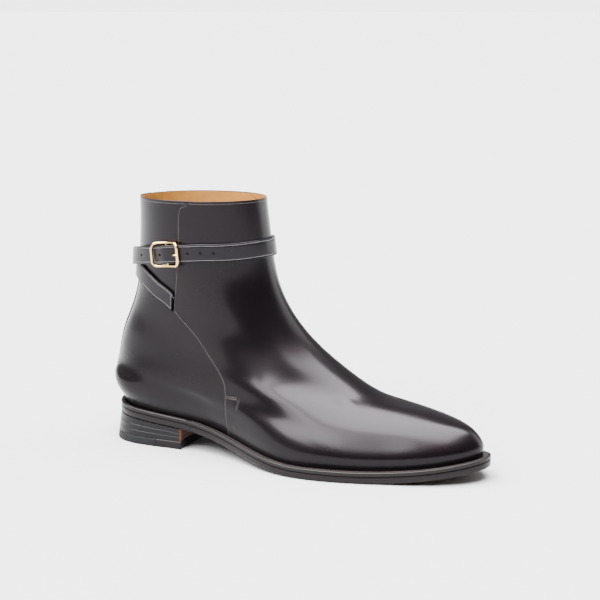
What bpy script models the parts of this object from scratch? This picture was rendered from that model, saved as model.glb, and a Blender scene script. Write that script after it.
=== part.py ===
# Jodhpur boot for the right foot, black calf on a welted leather sole, strap buckled on the outer side.
# Units are metres. +X runs from the heel to the toe, +Y to the inner (medial) side, +Z up.
# The origin is on the floor, at the middle of the heel's contact face. Inside the functions x is
# measured from the heel's back edge, and place() moves everything to the origin at the end.
#
# Each loop of the upper runs once round the boot. Its angle is 0 at the heel's back, a quarter turn
# on the outer (lateral) side, half a turn at the toe or shin and three quarters on the inner side.
import bpy
import bmesh
import math
import numpy as np
from mathutils import Matrix, Vector

# Sole
SOLE_LENGTH = 0.305
BALL_WIDTH = 0.107
HEEL_LENGTH = 0.070
HEEL_HEIGHT = 0.0158
SEAT_RISE = 0.0062
TOE_SPRING = 0.0098
TOE_SHIFT = 0.004
TREAD_FROM = 0.597
TREAD_TO = 0.705
TREAD_INSET = 0.002
OUTSOLE_THICK = 0.005
WELT_THICK = 0.003
SOLE_EDGE_ROUND = 0.0012
WELT_EDGE_ROUND = 0.0008
TOP_PIECE_THICK = 0.006
HEEL_FLARE = 0.0030
BREAST_HOLLOW = 0.0025
BREAST_JOINT = 0.004
TOP_PIECE_ARRIS = 0.0006
TIP_BORDER = 0.36
TIP_TURN = 33
ORIGIN_FROM_BACK = 0.034

# Upper
INSTEP_HEIGHT = 0.0862
COLLAR_HEIGHT = 0.1912
COLLAR_LENGTH = 0.1045
COLLAR_WIDTH = 0.0728
COLLAR_FRONT_RISE = 0.0020
WALL = 0.0020
OVERLAP_STEP = 0.0010
EDGE_RUN = 0.0003
FEATHER_ROUND = 0.0008
LASTING_MARGIN = 0.009
BACKSTAY_WIDTH = 0.015
BACKSTAY_PROUD = 0.0002
BACKSTAY_START = 0.004
INSOLE_THICK = 0.0025
INSOLE_ARRIS = 0.0007
ARRIS = 0.0003
FLAP_TURN = 0.32
FLAP_LEAST = 2.10
GAP = 0.0003

# Strap and buckle
STRAP_WIDTH = 0.0136
STRAP_THICK = 0.0021
STRAP_ROUND = 0.0006
STRAP_END_SLANT = 0.0021
BUCKLE_LENGTH = 0.0256
BUCKLE_HEIGHT = 0.0192
BUCKLE_WIRE = 0.0010
BUCKLE_BAR = 0.0007
BUCKLE_CORNER = 0.0030
BUCKLE_TILT = 0.006
PRONG_WIRE = 0.0005

# Faces round and up the upper
QUARTER_COLUMNS = 10
FLAP_COLUMNS = 4
FRONT_COLUMNS = 12
WALL_ROWS = 30
LINING_ROWS = 22
STRAP_STATIONS = 84
SOLE_COLUMNS = (19, 4, 12)

HALF_BALL = BALL_WIDTH / 2
WELT_LEVEL = OUTSOLE_THICK + GAP

# The sole's outline and the lower wall above it. along: share of the sole's length. lateral, medial:
# half-widths from the heel-toe axis as shares of half the ball width. inset: how far the upper's foot
# stands in from the sole's edge. Then how far the wall stands out from its foot at mid height and at
# the turn of the wall, lateral and medial. The end rows give the end radius in place of a half-width.
SOLE_PLAN = [
    # along, lateral, medial, inset,  outMidL, outTurnL, outMidM, outTurnM
    (0.000, 0.500, 0.500, 0.0030, 0.0062, 0.0092, 0.0062, 0.0092),
    (0.033, 0.440, 0.440, 0.0030, 0.0056, 0.0080, 0.0054, 0.0076),
    (0.108, 0.597, 0.597, 0.0030, 0.0036, 0.0052, 0.0034, 0.0048),
    (0.230, 0.583, 0.580, 0.0030, 0.0026, 0.0042, 0.0036, 0.0060),
    (0.320, 0.626, 0.505, 0.0034, 0.0026, 0.0044, 0.0054, 0.0086),
    (0.400, 0.766, 0.477, 0.0040, 0.0016, 0.0024, 0.0066, 0.0108),
    (0.475, 0.935, 0.626, 0.0046, 0.0010, 0.0006, 0.0052, 0.0080),
    (0.550, 1.034, 0.804, 0.0050, 0.0011, -0.0005, 0.0030, 0.0036),
    (0.613, 1.037, 0.907, 0.0053, 0.0012, -0.0014, 0.0019, 0.0014),
    (0.672, 0.985, 0.944, 0.0055, 0.0011, -0.0022, 0.0014, 0.0000),
    (0.738, 0.879, 0.935, 0.0055, 0.0009, -0.0030, 0.0010, -0.0012),
    (0.803, 0.753, 0.869, 0.0056, 0.0007, -0.0034, 0.0008, -0.0022),
    (0.870, 0.613, 0.746, 0.0057, 0.0005, -0.0036, 0.0006, -0.0030),
    (0.930, 0.439, 0.572, 0.0058, 0.0004, -0.0038, 0.0004, -0.0036),
    (1.000, 0.345, 0.345, 0.0058, 0.0004, -0.0042, 0.0004, -0.0042),
]

# How high the wall's middle and turn lie over the welt's level, at the heel and at the toe.
WALL_MID_RISE = (0.0105, 0.0080)
WALL_TURN_RISE = (0.0190, 0.0165)

# Loops over the foot, from the toe cap to the instep. backX, frontX: shares of the sole's length.
# backZ: share of the way from the seat to the collar. frontZ: share of the way from the ball to the
# instep. frontY and sag: the ridge's shift to the medial side and the loop's dip over the ball, as
# shares of half the ball width. Then end radii and half-widths as shares of half the ball width, at
# the shares of the loop's length named in STATIONS, first lateral and then medial.
STATIONS = (0.10, 0.25, 0.45, 0.65, 0.85)
FOOT_LOOPS = [
    # backX, backZ, frontX, frontZ, frontY, sag, backR, lateral x 5, frontR, medial x 5
    (-0.0140, 0.188, 0.9115, 0.436, 0.093, 0.168, 0.47,
     (0.575, 0.640, 0.738, 0.790, 0.450), 0.225, (0.565, 0.626, 0.668, 0.790, 0.600)),
    (-0.0045, 0.275, 0.8295, 0.501, 0.112, 0.093, 0.44,
     (0.525, 0.617, 0.692, 0.705, 0.350), 0.205, (0.520, 0.607, 0.664, 0.715, 0.505)),
    (0.0090, 0.362, 0.7311, 0.565, 0.125, 0.037, 0.41,
     (0.490, 0.588, 0.647, 0.640, 0.345), 0.205, (0.487, 0.585, 0.640, 0.645, 0.455)),
    (0.0275, 0.442, 0.6300, 0.751, 0.118, 0.000, 0.38,
     (0.448, 0.565, 0.620, 0.595, 0.378), 0.210, (0.448, 0.563, 0.617, 0.600, 0.440)),
    (0.0430, 0.517, 0.5400, 1.000, 0.090, 0.000, 0.37,
     (0.410, 0.545, 0.607, 0.583, 0.400), 0.220, (0.410, 0.545, 0.605, 0.585, 0.418)),
]

# Loops of the shaft. backX: share of the sole's length. backZ as above. length: share of the collar's
# length. frontZ: share of the way from the instep to the collar. Widths are shares of half the
# collar's width.
SHAFT_LOOPS = [
    # backX, backZ, length, frontZ, frontY, backR, lateral x 5, frontR, medial x 5
    (0.0535, 0.598, 1.225, 0.223, 0.080, 0.57,
     (0.565, 0.770, 0.893, 0.879, 0.640), 0.38, (0.565, 0.770, 0.890, 0.880, 0.640)),
    (0.0580, 0.684, 1.115, 0.430, 0.045, 0.60,
     (0.568, 0.783, 0.907, 0.893, 0.650), 0.48, (0.568, 0.783, 0.907, 0.893, 0.650)),
    (0.0618, 0.796, 1.054, 0.690, 0.015, 0.63,
     (0.572, 0.821, 0.942, 0.904, 0.676), 0.58, (0.572, 0.821, 0.942, 0.904, 0.670)),
    (0.0650, 1.000, 1.000, 1.000, 0.000, 0.68,
     (0.600, 0.866, 0.996, 0.954, 0.714), 0.66, (0.600, 0.866, 0.996, 0.954, 0.714)),
]

# The rear edge of the vamp, where it laps over the quarter: share of the collar's height, and share
# of the sole's length. It has a round corner at the collar and swings forward under the ankle.
VAMP_EDGE = [
    (1.000, 0.2740), (0.994, 0.2572), (0.986, 0.2456), (0.976, 0.2400), (0.953, 0.2354),
    (0.868, 0.2317), (0.760, 0.2243), (0.647, 0.2149), (0.566, 0.2079), (0.545, 0.2190),
    (0.519, 0.2372), (0.459, 0.2793), (0.391, 0.3152), (0.333, 0.3461), (0.294, 0.3600),
    (0.236, 0.3640), (0.155, 0.3620), (0.103, 0.3640), (0.030, 0.3710),
]

# The strap's way round the boot, from its sewn end: turns round the shaft, height of its middle as a
# share of the collar's height, and how far its inner face stands off the vamp's surface. It lies on
# the quarter, crosses the backstay and the vamp, dips under the buckle's ends, rides over its bar and
# ends on top of its own first stretch.
STRAP_WAY = [
    # turns, height, stand off
    (0.2065, 0.5915, -0.0006), (0.195, 0.612, -0.0006), (0.161, 0.645, -0.0006),
    (0.136, 0.670, -0.0006), (0.100, 0.695, -0.0006), (0.060, 0.711, 0.0000),
    (0.000, 0.724, 0.0006), (-0.060, 0.735, 0.0006), (-0.100, 0.744, 0.0000),
    (-0.160, 0.760, 0.0000), (-0.215, 0.775, 0.0005), (-0.330, 0.801, 0.0005),
    (-0.450, 0.821, 0.0006), (-0.500, 0.823, 0.0006), (-0.540, 0.822, 0.0006),
    (-0.603, 0.816, 0.0005), (-0.653, 0.811, 0.0005), (-0.700, 0.808, 0.0005),
    (-0.730, 0.803, 0.0006), (-0.750, 0.800, 0.0008), (-0.768, 0.797, 0.0027),
    (-0.787, 0.793, 0.0036), (-0.806, 0.788, 0.0028), (-0.830, 0.782, 0.0019),
    (-0.860, 0.776, 0.0018), (-0.900, 0.767, 0.0020), (-0.930, 0.760, 0.0025),
    (-0.960, 0.754, 0.0030),
]
BUCKLE_TURNS = 0.2130
BUCKLE_Z = 0.792
BUCKLE_BAR_STAND = 0.0013
BUCKLE_FRONT_STAND = 0.0048
BUCKLE_BACK_STAND = 0.0060

# The prong's way from the bar to the buckle's front end: share of the way, the wire's stand-off from
# the shaft, which counts from the front end's top where noted 1, and its rise as a share of the
# collar's height.
PRONG_WAY = [
    # share, stand off, from top, rise
    (0.24, 0.0026, 0, 0.0005), (0.42, 0.0024, 0, 0.001), (0.56, 0.0027, 0, 0.002),
    (0.66, 0.0040, 0, 0.003), (0.76, -0.0004, 1, 0.004), (0.88, 0.0003, 1, 0.005),
    (1.00, 0.0000, 1, 0.006), (1.07, -0.0004, 1, 0.006),
]

# A small step in angle or level, for slopes taken from the surface
SMALL_STEP = 1e-4


def place(points):
    """Moves points from the heel's back edge to the part's origin."""
    moved = np.array(points, float)
    moved[..., 0] -= ORIGIN_FROM_BACK
    return moved


def soft_interp(knots, values, where):
    """Smooth curve through a table that never overshoots it (monotone cubic pieces)."""
    knots = np.asarray(knots, float)
    values = np.asarray(values, float)
    step = np.diff(knots)
    rise = np.diff(values) / step
    slope = np.zeros(len(knots))
    same = rise[1:] * rise[:-1] > 0
    weight_a = 2 * step[1:] + step[:-1]
    weight_b = step[1:] + 2 * step[:-1]
    safe = np.where(same, rise[:-1], 1), np.where(same, rise[1:], 1)
    slope[1:-1] = np.where(same, (weight_a + weight_b) / (weight_a / safe[0] + weight_b / safe[1]), 0)
    slope[0], slope[-1] = rise[0], rise[-1]
    where = np.clip(where, knots[0], knots[-1])
    k = np.clip(np.searchsorted(knots, where) - 1, 0, len(knots) - 2)
    s = (where - knots[k]) / step[k]
    return (values[k] * (1 + 2 * s) * (1 - s) ** 2 + step[k] * slope[k] * s * (1 - s) ** 2
            + values[k + 1] * s * s * (3 - 2 * s) - step[k] * slope[k + 1] * s * s * (1 - s))


def bends(knots, values):
    """Second derivatives of the natural cubic spline through values, whose first axis is knots."""
    step = np.diff(knots)
    flat = values.reshape(len(knots), -1)
    system = np.eye(len(knots))
    right = np.zeros_like(flat)
    for k in range(1, len(knots) - 1):
        system[k, k - 1:k + 2] = step[k - 1], 2 * (step[k - 1] + step[k]), step[k]
        right[k] = 6 * ((flat[k + 1] - flat[k]) / step[k] - (flat[k] - flat[k - 1]) / step[k - 1])
    return np.linalg.solve(system, right).reshape(values.shape)


def spline_pick(knots, values, second, where):
    """Natural cubic spline, where each entry of where picks from its own column of values."""
    k = np.clip(np.searchsorted(knots, where) - 1, 0, len(knots) - 2)
    column = np.arange(len(where))
    step = (knots[k + 1] - knots[k])[:, None]
    b = ((where - knots[k]) / (knots[k + 1] - knots[k]))[:, None]
    a = 1 - b
    low, high = values[k, column], values[k + 1, column]
    low_bend, high_bend = second[k, column], second[k + 1, column]
    return a * low + b * high + ((a ** 3 - a) * low_bend + (b ** 3 - b) * high_bend) * step ** 2 / 6


def width_curve(along, lateral, medial, back_radius, front_radius, length, shift, angle):
    """Signed half-width of a loop at each angle: sine of the angle times a spline of w / sine."""
    turn = np.arccos(1 - 2 * np.asarray(along))
    knots = np.concatenate([[0], turn, [math.pi]])
    ends = [math.sqrt(back_radius * length / 2)], [math.sqrt(front_radius * length / 2)]
    centre = shift * np.asarray(along) ** 3
    half = np.where(np.sin(angle) >= 0, np.mod(angle, 2 * math.pi), 2 * math.pi - np.mod(angle, 2 * math.pi))
    found = []
    for widths, sign in ((lateral, 1), (medial, -1)):
        reach = np.concatenate([ends[0], (np.asarray(widths) + sign * centre) / np.sin(turn), ends[1]])
        column = np.repeat(reach[:, None, None], len(half), axis=1)
        found.append(spline_pick(knots, column, bends(knots, column), half)[:, 0])
    return -np.sin(angle) * np.where(np.sin(angle) >= 0, found[0], found[1])


def plan_column(column, angle):
    """A column of SOLE_PLAN read at each angle round the boot."""
    table = np.array(SOLE_PLAN)
    turn = np.arccos(1 - 2 * table[:, 0])
    half = np.arccos(np.cos(angle))
    return soft_interp(turn, table[:, column], half)


def sided_column(lateral, medial, angle):
    return np.where(np.sin(angle) >= 0, plan_column(lateral, angle), plan_column(medial, angle))


def sole_outline(angle):
    """The outsole's outline from above."""
    table = np.array(SOLE_PLAN)
    share = (1 - np.cos(angle)) / 2
    inner = table[1:-1]
    y = width_curve(inner[:, 0], inner[:, 1] * HALF_BALL, inner[:, 2] * HALF_BALL,
                    table[0, 1] * HALF_BALL, table[-1, 1] * HALF_BALL, SOLE_LENGTH, TOE_SHIFT, angle)
    return np.stack([share * SOLE_LENGTH, y + TOE_SHIFT * share ** 3], -1)


def plan(angle, out):
    """The sole's outline moved outwards by out along its own normal."""
    angle = np.asarray(angle, float)
    ahead, behind = sole_outline(angle + SMALL_STEP), sole_outline(angle - SMALL_STEP)
    tangent = ahead - behind
    tangent /= np.linalg.norm(tangent, axis=-1, keepdims=True)
    normal = np.stack([tangent[:, 1], -tangent[:, 0]], -1)
    return sole_outline(angle) + normal * np.broadcast_to(out, angle.shape)[:, None]


def underside(x):
    """Height of the outsole's underside: the seat's slope, the waist's fall, flat tread, toe spring."""
    flat_start, flat_end = TREAD_FROM * SOLE_LENGTH, TREAD_TO * SOLE_LENGTH
    seat = HEEL_HEIGHT + SEAT_RISE * (1 - x / HEEL_LENGTH)
    waist = np.clip((x - HEEL_LENGTH) / (flat_start - HEEL_LENGTH), 0, 1)
    toe = np.clip((x - flat_end) / (SOLE_LENGTH - flat_end), 0, 1.05)
    tread = HEEL_HEIGHT * (1 - waist) ** 2 * (1 + 1.15 * waist) + TOE_SPRING * toe ** 2
    return np.where(x < HEEL_LENGTH, seat, tread)


def level_on_sole(angle, out, rise):
    """A loop over the sole: its outline moved by out, at height rise over the underside."""
    flat = plan(angle, out)
    return np.column_stack([flat, underside(flat[:, 0]) + rise])


def control_loops(angle):
    """The upper's loops that the surface passes through, from its foot to the collar."""
    angle = np.asarray(angle, float)
    share = (1 - np.cos(angle)) / 2
    inset = plan_column(3, angle)
    mid = WALL_MID_RISE[0] + (WALL_MID_RISE[1] - WALL_MID_RISE[0]) * share
    turn = WALL_TURN_RISE[0] + (WALL_TURN_RISE[1] - WALL_TURN_RISE[0]) * share
    loops = [
        level_on_sole(angle, -inset, WELT_LEVEL + FEATHER_ROUND),
        level_on_sole(angle, -inset, WELT_LEVEL + WELT_THICK),
        level_on_sole(angle, -inset + sided_column(4, 6, angle), WELT_LEVEL + WELT_THICK + mid),
        level_on_sole(angle, -inset + sided_column(5, 7, angle), WELT_LEVEL + WELT_THICK + turn),
    ]
    seat = float(underside(np.array(0.0))) + WELT_LEVEL + WELT_THICK
    for back_x, back_z, front_x, front_z, front_y, sag, back_r, lateral, front_r, medial in FOOT_LOOPS:
        back = np.array([back_x * SOLE_LENGTH, seat + back_z * (COLLAR_HEIGHT - seat)])
        front = np.array([front_x * SOLE_LENGTH, WELT_LEVEL + front_z * (INSTEP_HEIGHT - WELT_LEVEL)])
        length, shift = front[0] - back[0], front_y * HALF_BALL
        y = width_curve(STATIONS, np.array(lateral) * HALF_BALL, np.array(medial) * HALF_BALL,
                        back_r * HALF_BALL, front_r * HALF_BALL, length, shift, angle)
        dip = sag * HALF_BALL * np.sin(math.pi * share ** 1.4)
        loops.append(np.column_stack([back[0] + share * length, y + shift * share ** 3,
                                      back[1] + share * (front[1] - back[1]) - dip]))
    half_collar = COLLAR_WIDTH / 2
    for back_x, back_z, size, front_z, front_y, back_r, lateral, front_r, medial in SHAFT_LOOPS:
        back = np.array([back_x * SOLE_LENGTH, seat + back_z * (COLLAR_HEIGHT - seat)])
        length, shift = size * COLLAR_LENGTH, front_y * half_collar
        front = INSTEP_HEIGHT + front_z * (COLLAR_HEIGHT - INSTEP_HEIGHT)
        y = width_curve(STATIONS, np.array(lateral) * half_collar, np.array(medial) * half_collar,
                        back_r * half_collar, front_r * half_collar, length, shift, angle)
        rise = COLLAR_FRONT_RISE * share * (back_z == 1)
        loops.append(np.column_stack([back[0] + share * length, y + shift * share ** 3,
                                      back[1] + share * (front - back[1]) + rise]))
    return np.array(loops)


ROUND = np.linspace(0, 2 * math.pi, 48, endpoint=False)
LOOPS = control_loops(ROUND)
STEPS = np.linalg.norm(np.diff(LOOPS, axis=0), axis=2).mean(axis=1)
KNOTS = np.concatenate([[0], np.cumsum(STEPS)]) / STEPS.sum()


def surface(angle, level):
    """The upper's outer surface, at an angle round the boot and a level from foot 0 to collar 1."""
    angle, level = np.broadcast_arrays(np.asarray(angle, float), np.asarray(level, float))
    loops = control_loops(angle.ravel())
    found = spline_pick(KNOTS, loops, bends(KNOTS, loops), level.ravel())
    return found.reshape(angle.shape + (3,))


def normal(angle, level):
    """Outward unit normal of the surface."""
    angle, level = np.broadcast_arrays(np.asarray(angle, float), np.asarray(level, float))
    low, high = np.clip(level - SMALL_STEP, 0, 1), np.clip(level + SMALL_STEP, 0, 1)
    across = np.cross(surface(angle + SMALL_STEP, level) - surface(angle - SMALL_STEP, level),
                      surface(angle, high) - surface(angle, low))
    return across / np.linalg.norm(across, axis=-1, keepdims=True)


def level_at(angle, height):
    """The level at which the surface reaches each height, at each angle."""
    levels = np.linspace(0, 1, 161)
    angle, height = np.broadcast_arrays(np.atleast_1d(angle), np.atleast_1d(height))
    grid = surface(angle[:, None], levels[None, :])[..., 2]
    return np.array([np.interp(z, column, levels) for z, column in zip(height, grid)])


def vamp_edge_angle(levels):
    """Angle of the vamp's rear edge at each level, from 0 to half a turn."""
    table = np.array(VAMP_EDGE)[::-1]
    angles = np.linspace(0.5, 2.6, 190)
    grid = surface(angles[None, :], np.asarray(levels)[:, None])
    edge_x = soft_interp(table[:, 0], table[:, 1], grid[..., 2] / COLLAR_HEIGHT) * SOLE_LENGTH
    return np.array([np.interp(0, row, angles) for row in grid[..., 0] - edge_x])


def round_columns(levels):
    """Angles of the grid's columns at each level, and each column's zone for the wall's steps."""
    edge = vamp_edge_angle(levels)
    inner_edge = np.maximum(edge + FLAP_TURN, FLAP_LEAST)
    rim = surface(edge, levels)
    near = surface(edge + 0.01, levels)
    small = EDGE_RUN / np.maximum(np.linalg.norm(near - rim, axis=-1) / 0.01, 1e-3)
    parts = []
    zones = []
    for start, end, count, zone in ((0 * edge, edge - small, QUARTER_COLUMNS, 0),
                                    (edge + small, inner_edge - small, FLAP_COLUMNS, 1),
                                    (inner_edge + small, 0 * edge + math.pi, FRONT_COLUMNS, 2)):
        share = np.linspace(0, 1, count + 1)
        parts.append(start[:, None] + (end - start)[:, None] * share)
        zones += [(zone, s) for s in share]
    half = np.concatenate(parts, axis=1)
    other = 2 * math.pi - half[:, -2:0:-1]
    return np.concatenate([half, other], axis=1), zones + zones[-2:0:-1]


def outer_offset(zones):
    return np.array([-OVERLAP_STEP if zone == 0 else 0.0 for zone, _ in zones])


def inner_offset(zones, height):
    """The lining's depth. The quarter's front edge makes a step inside the shaft, not in the foot."""
    shaft = np.clip((height - INSTEP_HEIGHT) / (0.35 * (COLLAR_HEIGHT - INSTEP_HEIGHT)), 0, 1)
    under = {0: lambda s: 1 + 0 * shaft, 1: lambda s: 1 - s * (1 - shaft), 2: lambda s: 0 * shaft}
    return np.stack([-WALL - OVERLAP_STEP * under[zone](s)[:, k]
                     for k, (zone, s) in enumerate(zones)], axis=1)


def wall_levels():
    """The levels of the wall's rows, the second one level with the welt's top."""
    return np.append(0, KNOTS[1] + (1 - KNOTS[1]) * np.linspace(0, 1, WALL_ROWS - 1) ** 0.9)


def rings_to_mesh(name, rings, closed_rows=False, caps=True):
    """A mesh from rings of points: quads between rings, and caps that join opposite points."""
    count = len(rings[0])
    points = place(np.concatenate(rings))
    faces = []
    last = len(rings) if closed_rows else len(rings) - 1
    for r in range(last):
        low, high = r * count, (r + 1) % len(rings) * count
        for k in range(count):
            n = (k + 1) % count
            faces.append((low + k, low + n, high + n, high + k))
    if caps and not closed_rows:
        for base, flip in ((0, True), ((len(rings) - 1) * count, False)):
            for k in range(count // 2):
                quad = [base + k, base + k + 1, base + (count - k - 1) % count, base + (count - k) % count]
                quad = list(dict.fromkeys(quad))
                if len(quad) > 2:
                    faces.append(tuple(quad[::-1] if flip else quad))
    mesh = bpy.data.meshes.new(name)
    mesh.from_pydata([tuple(p) for p in points], [], faces)
    mesh.validate()
    return mesh


def strip_to_mesh(name, sections):
    """A mesh from a row of closed sections, with an end cap on each end."""
    count = len(sections[0])
    points = place(np.concatenate(sections))
    faces = []
    for r in range(len(sections) - 1):
        low, high = r * count, (r + 1) * count
        for k in range(count):
            n = (k + 1) % count
            faces.append((low + k, high + k, high + n, low + n))
    faces.append(tuple(range(count)))
    faces.append(tuple(range(len(points) - 1, len(points) - count - 1, -1)))
    mesh = bpy.data.meshes.new(name)
    mesh.from_pydata([tuple(p) for p in points], [], faces)
    mesh.validate()
    return mesh


def add_part(name, mesh, material, sharp=35):
    """An object in the boot's collection, triangulated, with faces out and smooth shading."""
    work = bmesh.new()
    work.from_mesh(mesh)
    bmesh.ops.remove_doubles(work, verts=work.verts, dist=1e-6)
    bmesh.ops.triangulate(work, faces=work.faces)
    bmesh.ops.recalc_face_normals(work, faces=work.faces)
    work.to_mesh(mesh)
    work.free()
    mesh.materials.append(material)
    mesh.shade_smooth()
    mesh.set_sharp_from_angle(angle=math.radians(sharp))
    part = bpy.data.objects.new(name, mesh)
    bpy.data.collections["jodhpur_boot"].objects.link(part)
    return part


def make_material(name, color, roughness, metallic=0.0, coat=0.0):
    material = bpy.data.materials.new(name)
    material.use_nodes = True
    shader = material.node_tree.nodes["Principled BSDF"]
    shader.inputs["Base Color"].default_value = (*color, 1)
    shader.inputs["Roughness"].default_value = roughness
    shader.inputs["Metallic"].default_value = metallic
    shader.inputs["Coat Weight"].default_value = coat
    return material


def make_upper(material):
    """One hollow shell: lasting margin, wall, collar rim and lining surface, open at both ends."""
    levels = wall_levels()
    angles, zones = round_columns(levels)
    grid = surface(angles, levels[:, None])
    outer = grid + normal(angles, levels[:, None]) * outer_offset(zones)[None, :, None]

    inner_levels = np.linspace(1, KNOTS[1] * 1.2, LINING_ROWS)
    inner_angles, zones = round_columns(inner_levels)
    grid = surface(inner_angles, inner_levels[:, None])
    depth = inner_offset(zones, grid[..., 2])
    inner = grid + normal(inner_angles, inner_levels[:, None]) * depth[..., None]

    foot = angles[0]
    inset = plan_column(3, foot)
    quarter = outer_offset(zones)
    margin_top = WELT_LEVEL + WALL
    corner = FEATHER_ROUND + WALL + OVERLAP_STEP
    rings = [
        level_on_sole(foot, -inset - LASTING_MARGIN, WELT_LEVEL),
        level_on_sole(foot, -inset - FEATHER_ROUND + quarter, WELT_LEVEL),
        *outer,
        *inner,
        level_on_sole(foot, -inset - corner, margin_top),
        level_on_sole(foot, -inset - LASTING_MARGIN, margin_top),
    ]
    return add_part("upper", rings_to_mesh("upper", rings, closed_rows=True), material, sharp=30)


def make_backstay(material):
    """A strip down the back of the heel, seated on the quarters."""
    levels = wall_levels()[::-1]
    levels = levels[levels > KNOTS[1] + BACKSTAY_START]
    middle = surface(0 * levels, levels)
    side = surface(0 * levels + 0.02, levels)
    per_turn = np.linalg.norm(side - middle, axis=-1) / 0.02
    half = BACKSTAY_WIDTH / 2 / per_turn
    sections = []
    inside, outside = -OVERLAP_STEP + GAP, BACKSTAY_PROUD
    for level, reach in zip(levels, half):
        across = np.array([-1, -1, -0.5, 0, 0.5, 1, 1, 0.5, 0, -0.5])
        out = np.array([inside, outside - ARRIS, outside, outside, outside, outside - ARRIS,
                        inside, inside, inside, inside])
        angle = across * reach
        sections.append(surface(angle, level) + normal(angle, level) * out[:, None])
    return add_part("backstay", strip_to_mesh("backstay", sections), material)


def foot_angles():
    """The upper's own columns at its foot, which the pieces below it share so that their facets match."""
    return round_columns(np.array([0.0]))[0][0]


def make_insole(material):
    """Insole board with a raised underside round its edge, where it rests on the lasting margin."""
    angle = foot_angles()
    edge = -plan_column(3, angle) - FEATHER_ROUND - WALL - OVERLAP_STEP - GAP
    core = -plan_column(3, angle) - LASTING_MARGIN - GAP
    rest = WELT_LEVEL + WALL + GAP
    rings = [
        level_on_sole(angle, core, WELT_LEVEL),
        level_on_sole(angle, core, rest),
        level_on_sole(angle, edge, rest),
        level_on_sole(angle, edge, rest + INSOLE_THICK - INSOLE_ARRIS),
        level_on_sole(angle, edge - INSOLE_ARRIS, rest + INSOLE_THICK),
    ]
    return add_part("insole", rings_to_mesh("insole", rings), material)


def sole_angles():
    """The outsole's columns, with rows of them at both ends of the flat tread under the ball."""
    inset = TREAD_INSET / SOLE_LENGTH
    start, end = (math.acos(1 - 2 * share) for share in (TREAD_FROM + inset, TREAD_TO - inset))
    waist, tread, toe = SOLE_COLUMNS
    half = np.concatenate([np.linspace(0, start, waist, endpoint=False),
                           np.linspace(start, end, tread, endpoint=False),
                           np.linspace(end, math.pi, toe)])
    return np.concatenate([half, 2 * math.pi - half[-2:0:-1]])


def make_outsole(material):
    angle = sole_angles()
    rings = [
        level_on_sole(angle, -SOLE_EDGE_ROUND, 0),
        level_on_sole(angle, -SOLE_EDGE_ROUND * 0.3, SOLE_EDGE_ROUND * 0.3),
        level_on_sole(angle, 0, SOLE_EDGE_ROUND),
        level_on_sole(angle, 0, OUTSOLE_THICK - ARRIS),
        level_on_sole(angle, -ARRIS, OUTSOLE_THICK),
    ]
    return add_part("outsole", rings_to_mesh("outsole", rings), material)


def ring_strip(name, start, end, material):
    """A flat strip between the sole's edge and the upper's foot, from one angle to another."""
    sections = []
    columns = foot_angles()
    columns = np.concatenate([columns, columns + 2 * math.pi])
    inside = columns[(columns > start + 0.01) & (columns < end - 0.01)]
    for angle in [start, *inside, end]:
        here = np.full(6, angle)
        inset = plan_column(3, here)
        inner = -inset[0] + GAP
        outs = np.array([inner, -WELT_EDGE_ROUND * 0.5, 0, 0, -WELT_EDGE_ROUND, inner])
        rises = np.array([0, 0, WELT_EDGE_ROUND * 0.5, WELT_THICK - WELT_EDGE_ROUND,
                          WELT_THICK - 0.0001, WELT_THICK - 0.0001]) + WELT_LEVEL
        sections.append(level_on_sole(here, outs, rises))
    return add_part(name, strip_to_mesh(name, sections), material)


def breast_angle():
    """Angle at which the sole's outline passes the heel breast, with a little over for the joint."""
    return math.acos(1 - 2 * (HEEL_LENGTH + BREAST_JOINT) / SOLE_LENGTH)


def heel_ring(out_back, height):
    """The heel's outline at one height, flared at the back, with a hollow breast."""
    last = math.acos(1 - 2 * (HEEL_LENGTH - 0.0015) / SOLE_LENGTH)
    lateral = np.linspace(0, last, 15)
    medial = 2 * math.pi - np.linspace(last, 0, 15)[:-1]
    sides = []
    for angle in (lateral, medial):
        sides.append(plan(angle, out_back * np.clip(np.cos(angle), 0, 1) ** 2))
    left, right = sides[0][-1], sides[1][0]
    share = np.linspace(0, 1, 9)[1:-1]
    breast = left + (right - left) * share[:, None]
    breast[:, 0] -= BREAST_HOLLOW * 4 * share * (1 - share)
    flat = np.concatenate([sides[0], breast, sides[1]])
    z = height(flat[:, 0]) if callable(height) else np.full(len(flat), height)
    return np.column_stack([flat, z])


def prism(name, rings):
    """A closed body from rings with one flat face on each end."""
    count = len(rings[0])
    points = place(np.concatenate(rings))
    faces = [tuple(range(count))[::-1], tuple(range((len(rings) - 1) * count, len(rings) * count))]
    for r in range(len(rings) - 1):
        for k in range(count):
            n = (k + 1) % count
            faces.append((r * count + k, r * count + n, (r + 1) * count + n, (r + 1) * count + k))
    mesh = bpy.data.meshes.new(name)
    mesh.from_pydata([tuple(p) for p in points], [], faces)
    return mesh


def seat_underside(x):
    return HEEL_HEIGHT + SEAT_RISE * (1 - x / HEEL_LENGTH) - GAP


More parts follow.
